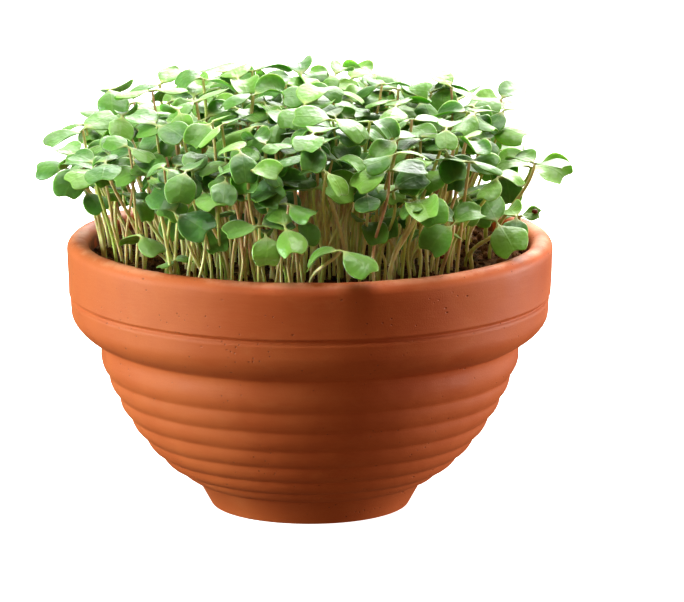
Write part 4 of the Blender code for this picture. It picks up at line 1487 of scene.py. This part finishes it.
@dataclass(frozen=True)
class SproutStand:
    """The whole stand: the frame's fifty-five sprouts, each a piece of its own, and clumps of the others."""

    bed: SproutBed = SproutBed()
    finish: LeafFinish = LeafFinish()
    own_seed: int = 500
    clump_seed: int = 900

    def build(self) -> Array:
        """Grows and models all sprouts, and gives points spread over their stems and leaves."""
        skin = self.finish.material()
        names, stand, standing = self.bed.frame_sprouts()
        fine = SproutModeller(self.bed.grower, Detail.FINE)
        for number, name in enumerate(names):
            piece = fine.piece(name.replace("sprout", "seedling"), stand.chosen([number]),
                               self.own_seed + number, skin)
            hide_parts(name)
            self.compare(piece, name)
        rest, standing = self.bed.rest_of_stand(stand.root, standing)
        log.info("%d more sprouts", len(rest))
        plain = SproutModeller(self.bed.grower, Detail.PLAIN)
        turn = np.arctan2(rest.root[:, 1], rest.root[:, 0] - self.bed.shift)
        away = np.hypot(rest.root[:, 0] - self.bed.shift, rest.root[:, 1]) / self.bed.radius
        order = np.lexsort((turn, np.digitize(away, self.bed.zones)))
        for number, rows in enumerate(np.array_split(order, self.bed.clumps)):
            plain.piece(f"sprout_clump_{number + 1:02d}", rest.chosen(rows), self.clump_seed + number, skin)
        return standing

    @staticmethod
    def compare(piece: bpy.types.Object, node: str) -> None:
        """Logs how far a modelled sprout's box lies from its node's, but for the buried end of its stem."""
        low, high = (np.array(corner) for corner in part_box(node))
        points = np.empty(len(piece.data.vertices) * 3, np.float32)
        piece.data.vertices.foreach_get("co", points)
        points = points.reshape(-1, 3)
        apart = max(np.abs(points.min(0) - low)[:2].max(), np.abs(points.max(0) - high).max())
        log.info("%s lies within %.1f mm of its node's box", piece.name, apart / MM)


# ---------------------------------------------------------------- seed husks


@dataclass(frozen=True)
class SeedHusks:
    """Empty seed coats, on the soil and still hanging on leaves and stems."""

    red: Colour = (0.36, 0.045, 0.014)
    brown: Colour = (0.12, 0.022, 0.01)
    size: float = 2.5 * MM
    lift: float = 0.9 * MM
    # Where coats hang, in millimetres: each goes to the point of a leaf or a stem that is nearest
    HANGING = ((37.0, 20.0, 166.0), (40.0, 16.0, 163.0), (-8.0, -12.0, 161.0), (92.5, -4.0, 122.5),
               (53.0, -58.0, 121.0), (54.0, -60.0, 112.0))

    def material(self) -> bpy.types.Material:
        """A thin dry coat, red-brown and a little shiny."""
        mix = Recipe("seed_husk")
        shade = mix.noise(mix.places(), 900.0, 3.0)
        colour = mix.mix(mix.between(shade, 0.35, 0.65), self.red, self.brown)
        return mix.finish(Base_Color=colour, Roughness=0.42, Normal=mix.bump(shade, 0.2 * MM, 0.5))

    def coat(self) -> tuple[Array, list[Array]]:
        """A coat two long with flat ends: a ball in rings of radius sin(a)^0.9, dented along one side."""
        rings, around = 8, 12
        tilt = np.linspace(0.12, math.pi - 0.12, rings)
        turn = whole_turn(around)
        girth = np.sin(tilt)[:, None] ** 0.9 * (1 - 0.22 * np.exp(-((turn - math.pi) / 0.35) ** 2))
        ball = np.stack([np.cos(tilt)[:, None] * np.ones(around), girth * np.cos(turn), girth * np.sin(turn)],
                        axis=-1)
        return ball.reshape(-1, 3), [grid_faces(rings, around, wrap=True), *ring_caps(rings, around)]

    def build(self, markers: Array) -> None:
        """The coats on the soil, in place of their nodes, and those that hang, in one piece.

        Args:
            markers: Points spread over all stems and leaves.
        """
        skin = self.material()
        ball, faces = self.coat()
        for number in (1, 2, 3):
            low, high = (np.array(corner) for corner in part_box(f"seed_husk_{number}"))
            points = (low + high) / 2 + ball * (high - low) / 2
            coat = mesh_piece(f"husk_{number}", points, turned_outward(points, faces))
            self.dress(coat, skin)
            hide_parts(f"seed_husk_{number}")
        spots = np.array(self.HANGING) * MM
        apart = np.linalg.norm(spots[:, None] - markers[None], axis=2)
        centres = markers[np.argmin(apart, axis=1)] + UP * self.lift
        stretch = self.size / 2 * np.array([1.0, 0.8, 0.75])
        points = (centres[:, None] + ball[None] * stretch).reshape(-1, 3)
        copies = [repeated(kind, len(ball), len(spots)) for kind in faces]
        self.dress(mesh_piece("hanging_husks", points, turned_outward(points, copies)), skin)

    @staticmethod
    def dress(piece: bpy.types.Object, skin: bpy.types.Material) -> None:
        """Gives a piece the coat's finish."""
        piece.data.materials.append(skin)


# ---------------------------------------------------------------- floor, lights and camera


@dataclass(frozen=True)
class Softbox:
    """A large square light, whose strength is how bright it makes a white surface that faces it."""

    name: str
    azimuth: float
    elevation: float
    distance: float
    side: float
    strength: float
    colour: Colour = (1.0, 1.0, 1.0)

    def build(self, target: Vector) -> None:
        """Puts the light up, aimed at a point. Azimuth 0 is the front, and it grows to the right."""
        turn, tilt = math.radians(self.azimuth), math.radians(self.elevation)
        away = Vector((math.sin(turn) * math.cos(tilt), -math.cos(turn) * math.cos(tilt), math.sin(tilt)))
        lamp = bpy.data.lights.new(self.name, "AREA")
        lamp.shape = "SQUARE"
        lamp.size = self.side
        lamp.energy = self.strength * (math.pi * self.distance) ** 2
        lamp.color = self.colour
        placed = bpy.data.objects.new(self.name, lamp)
        placed.location = target + away * self.distance
        placed.rotation_euler = away.to_track_quat("Z", "Y").to_euler()
        bpy.context.scene.collection.objects.link(placed)


@dataclass(frozen=True)
class Studio:
    """A pale floor, soft lights and the camera."""

    floor_radius: float = 7.0
    floor_bend: float = 1.5
    floor_turns: int = 64
    wall_height: float = 6.0
    floor_glow: float = 0.85
    floor_colour: Colour = (0.86, 0.86, 0.86)
    sky: Colour = (0.158, 0.110, 0.064)
    view_width: float = 282.0 * MM
    view_height: float = 12.0
    lens: float = 300.0
    sensor: float = 36.0
    look_at: tuple[float, float, float] = (13.2 * MM, 0.0, 84.6 * MM)
    farthest: float = 50.0
    lit: tuple[float, float, float] = (0.0, 0.0, 0.1)
    lights: tuple[Softbox, ...] = (
        Softbox("key", -79.0, 8.0, 1.3, 0.6, 1.26, (0.92, 1.10, 1.08)),
        Softbox("side", 104.0, 3.0, 1.3, 0.5, 0.84, (1.0, 0.97, 0.95)),
        Softbox("back", 165.0, 42.0, 1.5, 1.1, 1.9),
        Softbox("top", 0.0, 82.0, 1.3, 0.8, 0.9),
        Softbox("fill", -20.0, 15.0, 1.8, 1.2, 0.035, (1.0, 0.75, 0.5)),
        Softbox("bounce", 66.0, -30.0, 1.0, 0.8, 0.07, (1.0, 0.8, 0.6)),
    )

    def build(self) -> None:
        """Puts up the studio."""
        self.build_floor()
        self.build_camera()
        for light in self.lights:
            light.build(Vector(self.lit))
        world = bpy.data.worlds.new("studio")
        world.use_nodes = True
        world.node_tree.nodes["Background"].inputs[0].default_value = (*self.sky, 1.0)
        bpy.context.scene.world = world
        view = bpy.context.scene.view_settings
        view.view_transform = "Standard"
        view.look = "Medium High Contrast"

    def build_floor(self) -> None:
        """A round floor that turns up into a wall far off.

        It only shows: it takes no part in the light, and the bounce light stands in for its reflection.
        """
        bend = np.radians(np.linspace(-90.0, 0.0, 9))
        rise = np.stack([np.cos(bend), 1 + np.sin(bend)], axis=1) * self.floor_bend
        profile = np.concatenate([rise + (self.floor_radius - self.floor_bend, 0.0),
                                  [(self.floor_radius, self.wall_height)]])
        points = turned_grid(profile, whole_turn(self.floor_turns))
        skin = grid_faces(len(profile), self.floor_turns, wrap=True)
        faces = [*skin.tolist(), list(range(self.floor_turns))]
        data = bpy.data.meshes.new("floor")
        data.from_pydata(points.reshape(-1, 3).tolist(), [], faces)
        floor = bpy.data.objects.new("floor", data)
        bpy.context.scene.collection.objects.link(floor)
        mix = Recipe("floor")
        cloud = mix.noise(mix.places(), 3.0, 2.0)
        pale = tuple(0.97 * part for part in self.floor_colour)
        shade = mix.mix(mix.between(cloud, 0.3, 0.7), self.floor_colour, pale)
        data.materials.append(mix.finish(Base_Color=shade, Roughness=0.8, Emission_Color=(1.0, 1.0, 1.0),
                                         Emission_Strength=self.floor_glow))
        floor.visible_diffuse = False
        floor.visible_glossy = False
        floor.visible_shadow = False

    def build_camera(self) -> None:
        """The camera: as far off as its lens needs to show the view's width."""
        lens = bpy.data.cameras.new("camera")
        lens.lens = self.lens
        lens.sensor_width = self.sensor
        lens.clip_end = self.farthest
        tilt = math.radians(self.view_height)
        away = Vector((0.0, -math.cos(tilt), math.sin(tilt)))
        placed = bpy.data.objects.new("camera", lens)
        placed.location = Vector(self.look_at) + away * (self.view_width * self.lens / self.sensor)
        placed.rotation_euler = away.to_track_quat("Z", "Y").to_euler()
        bpy.context.scene.collection.objects.link(placed)
        bpy.context.scene.camera = placed


def main() -> None:
    """Builds every sub-assembly in order."""
    logging.basicConfig(level=logging.INFO, format="%(name)s %(message)s", stream=sys.stdout)
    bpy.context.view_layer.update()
    Studio().build()
    bowl = TerracottaBowl()
    bowl.build()
    PottingSoil().build(bowl)
    markers = SproutStand().build()
    SeedHusks().build(markers)


if __name__ == "__main__":
    main()
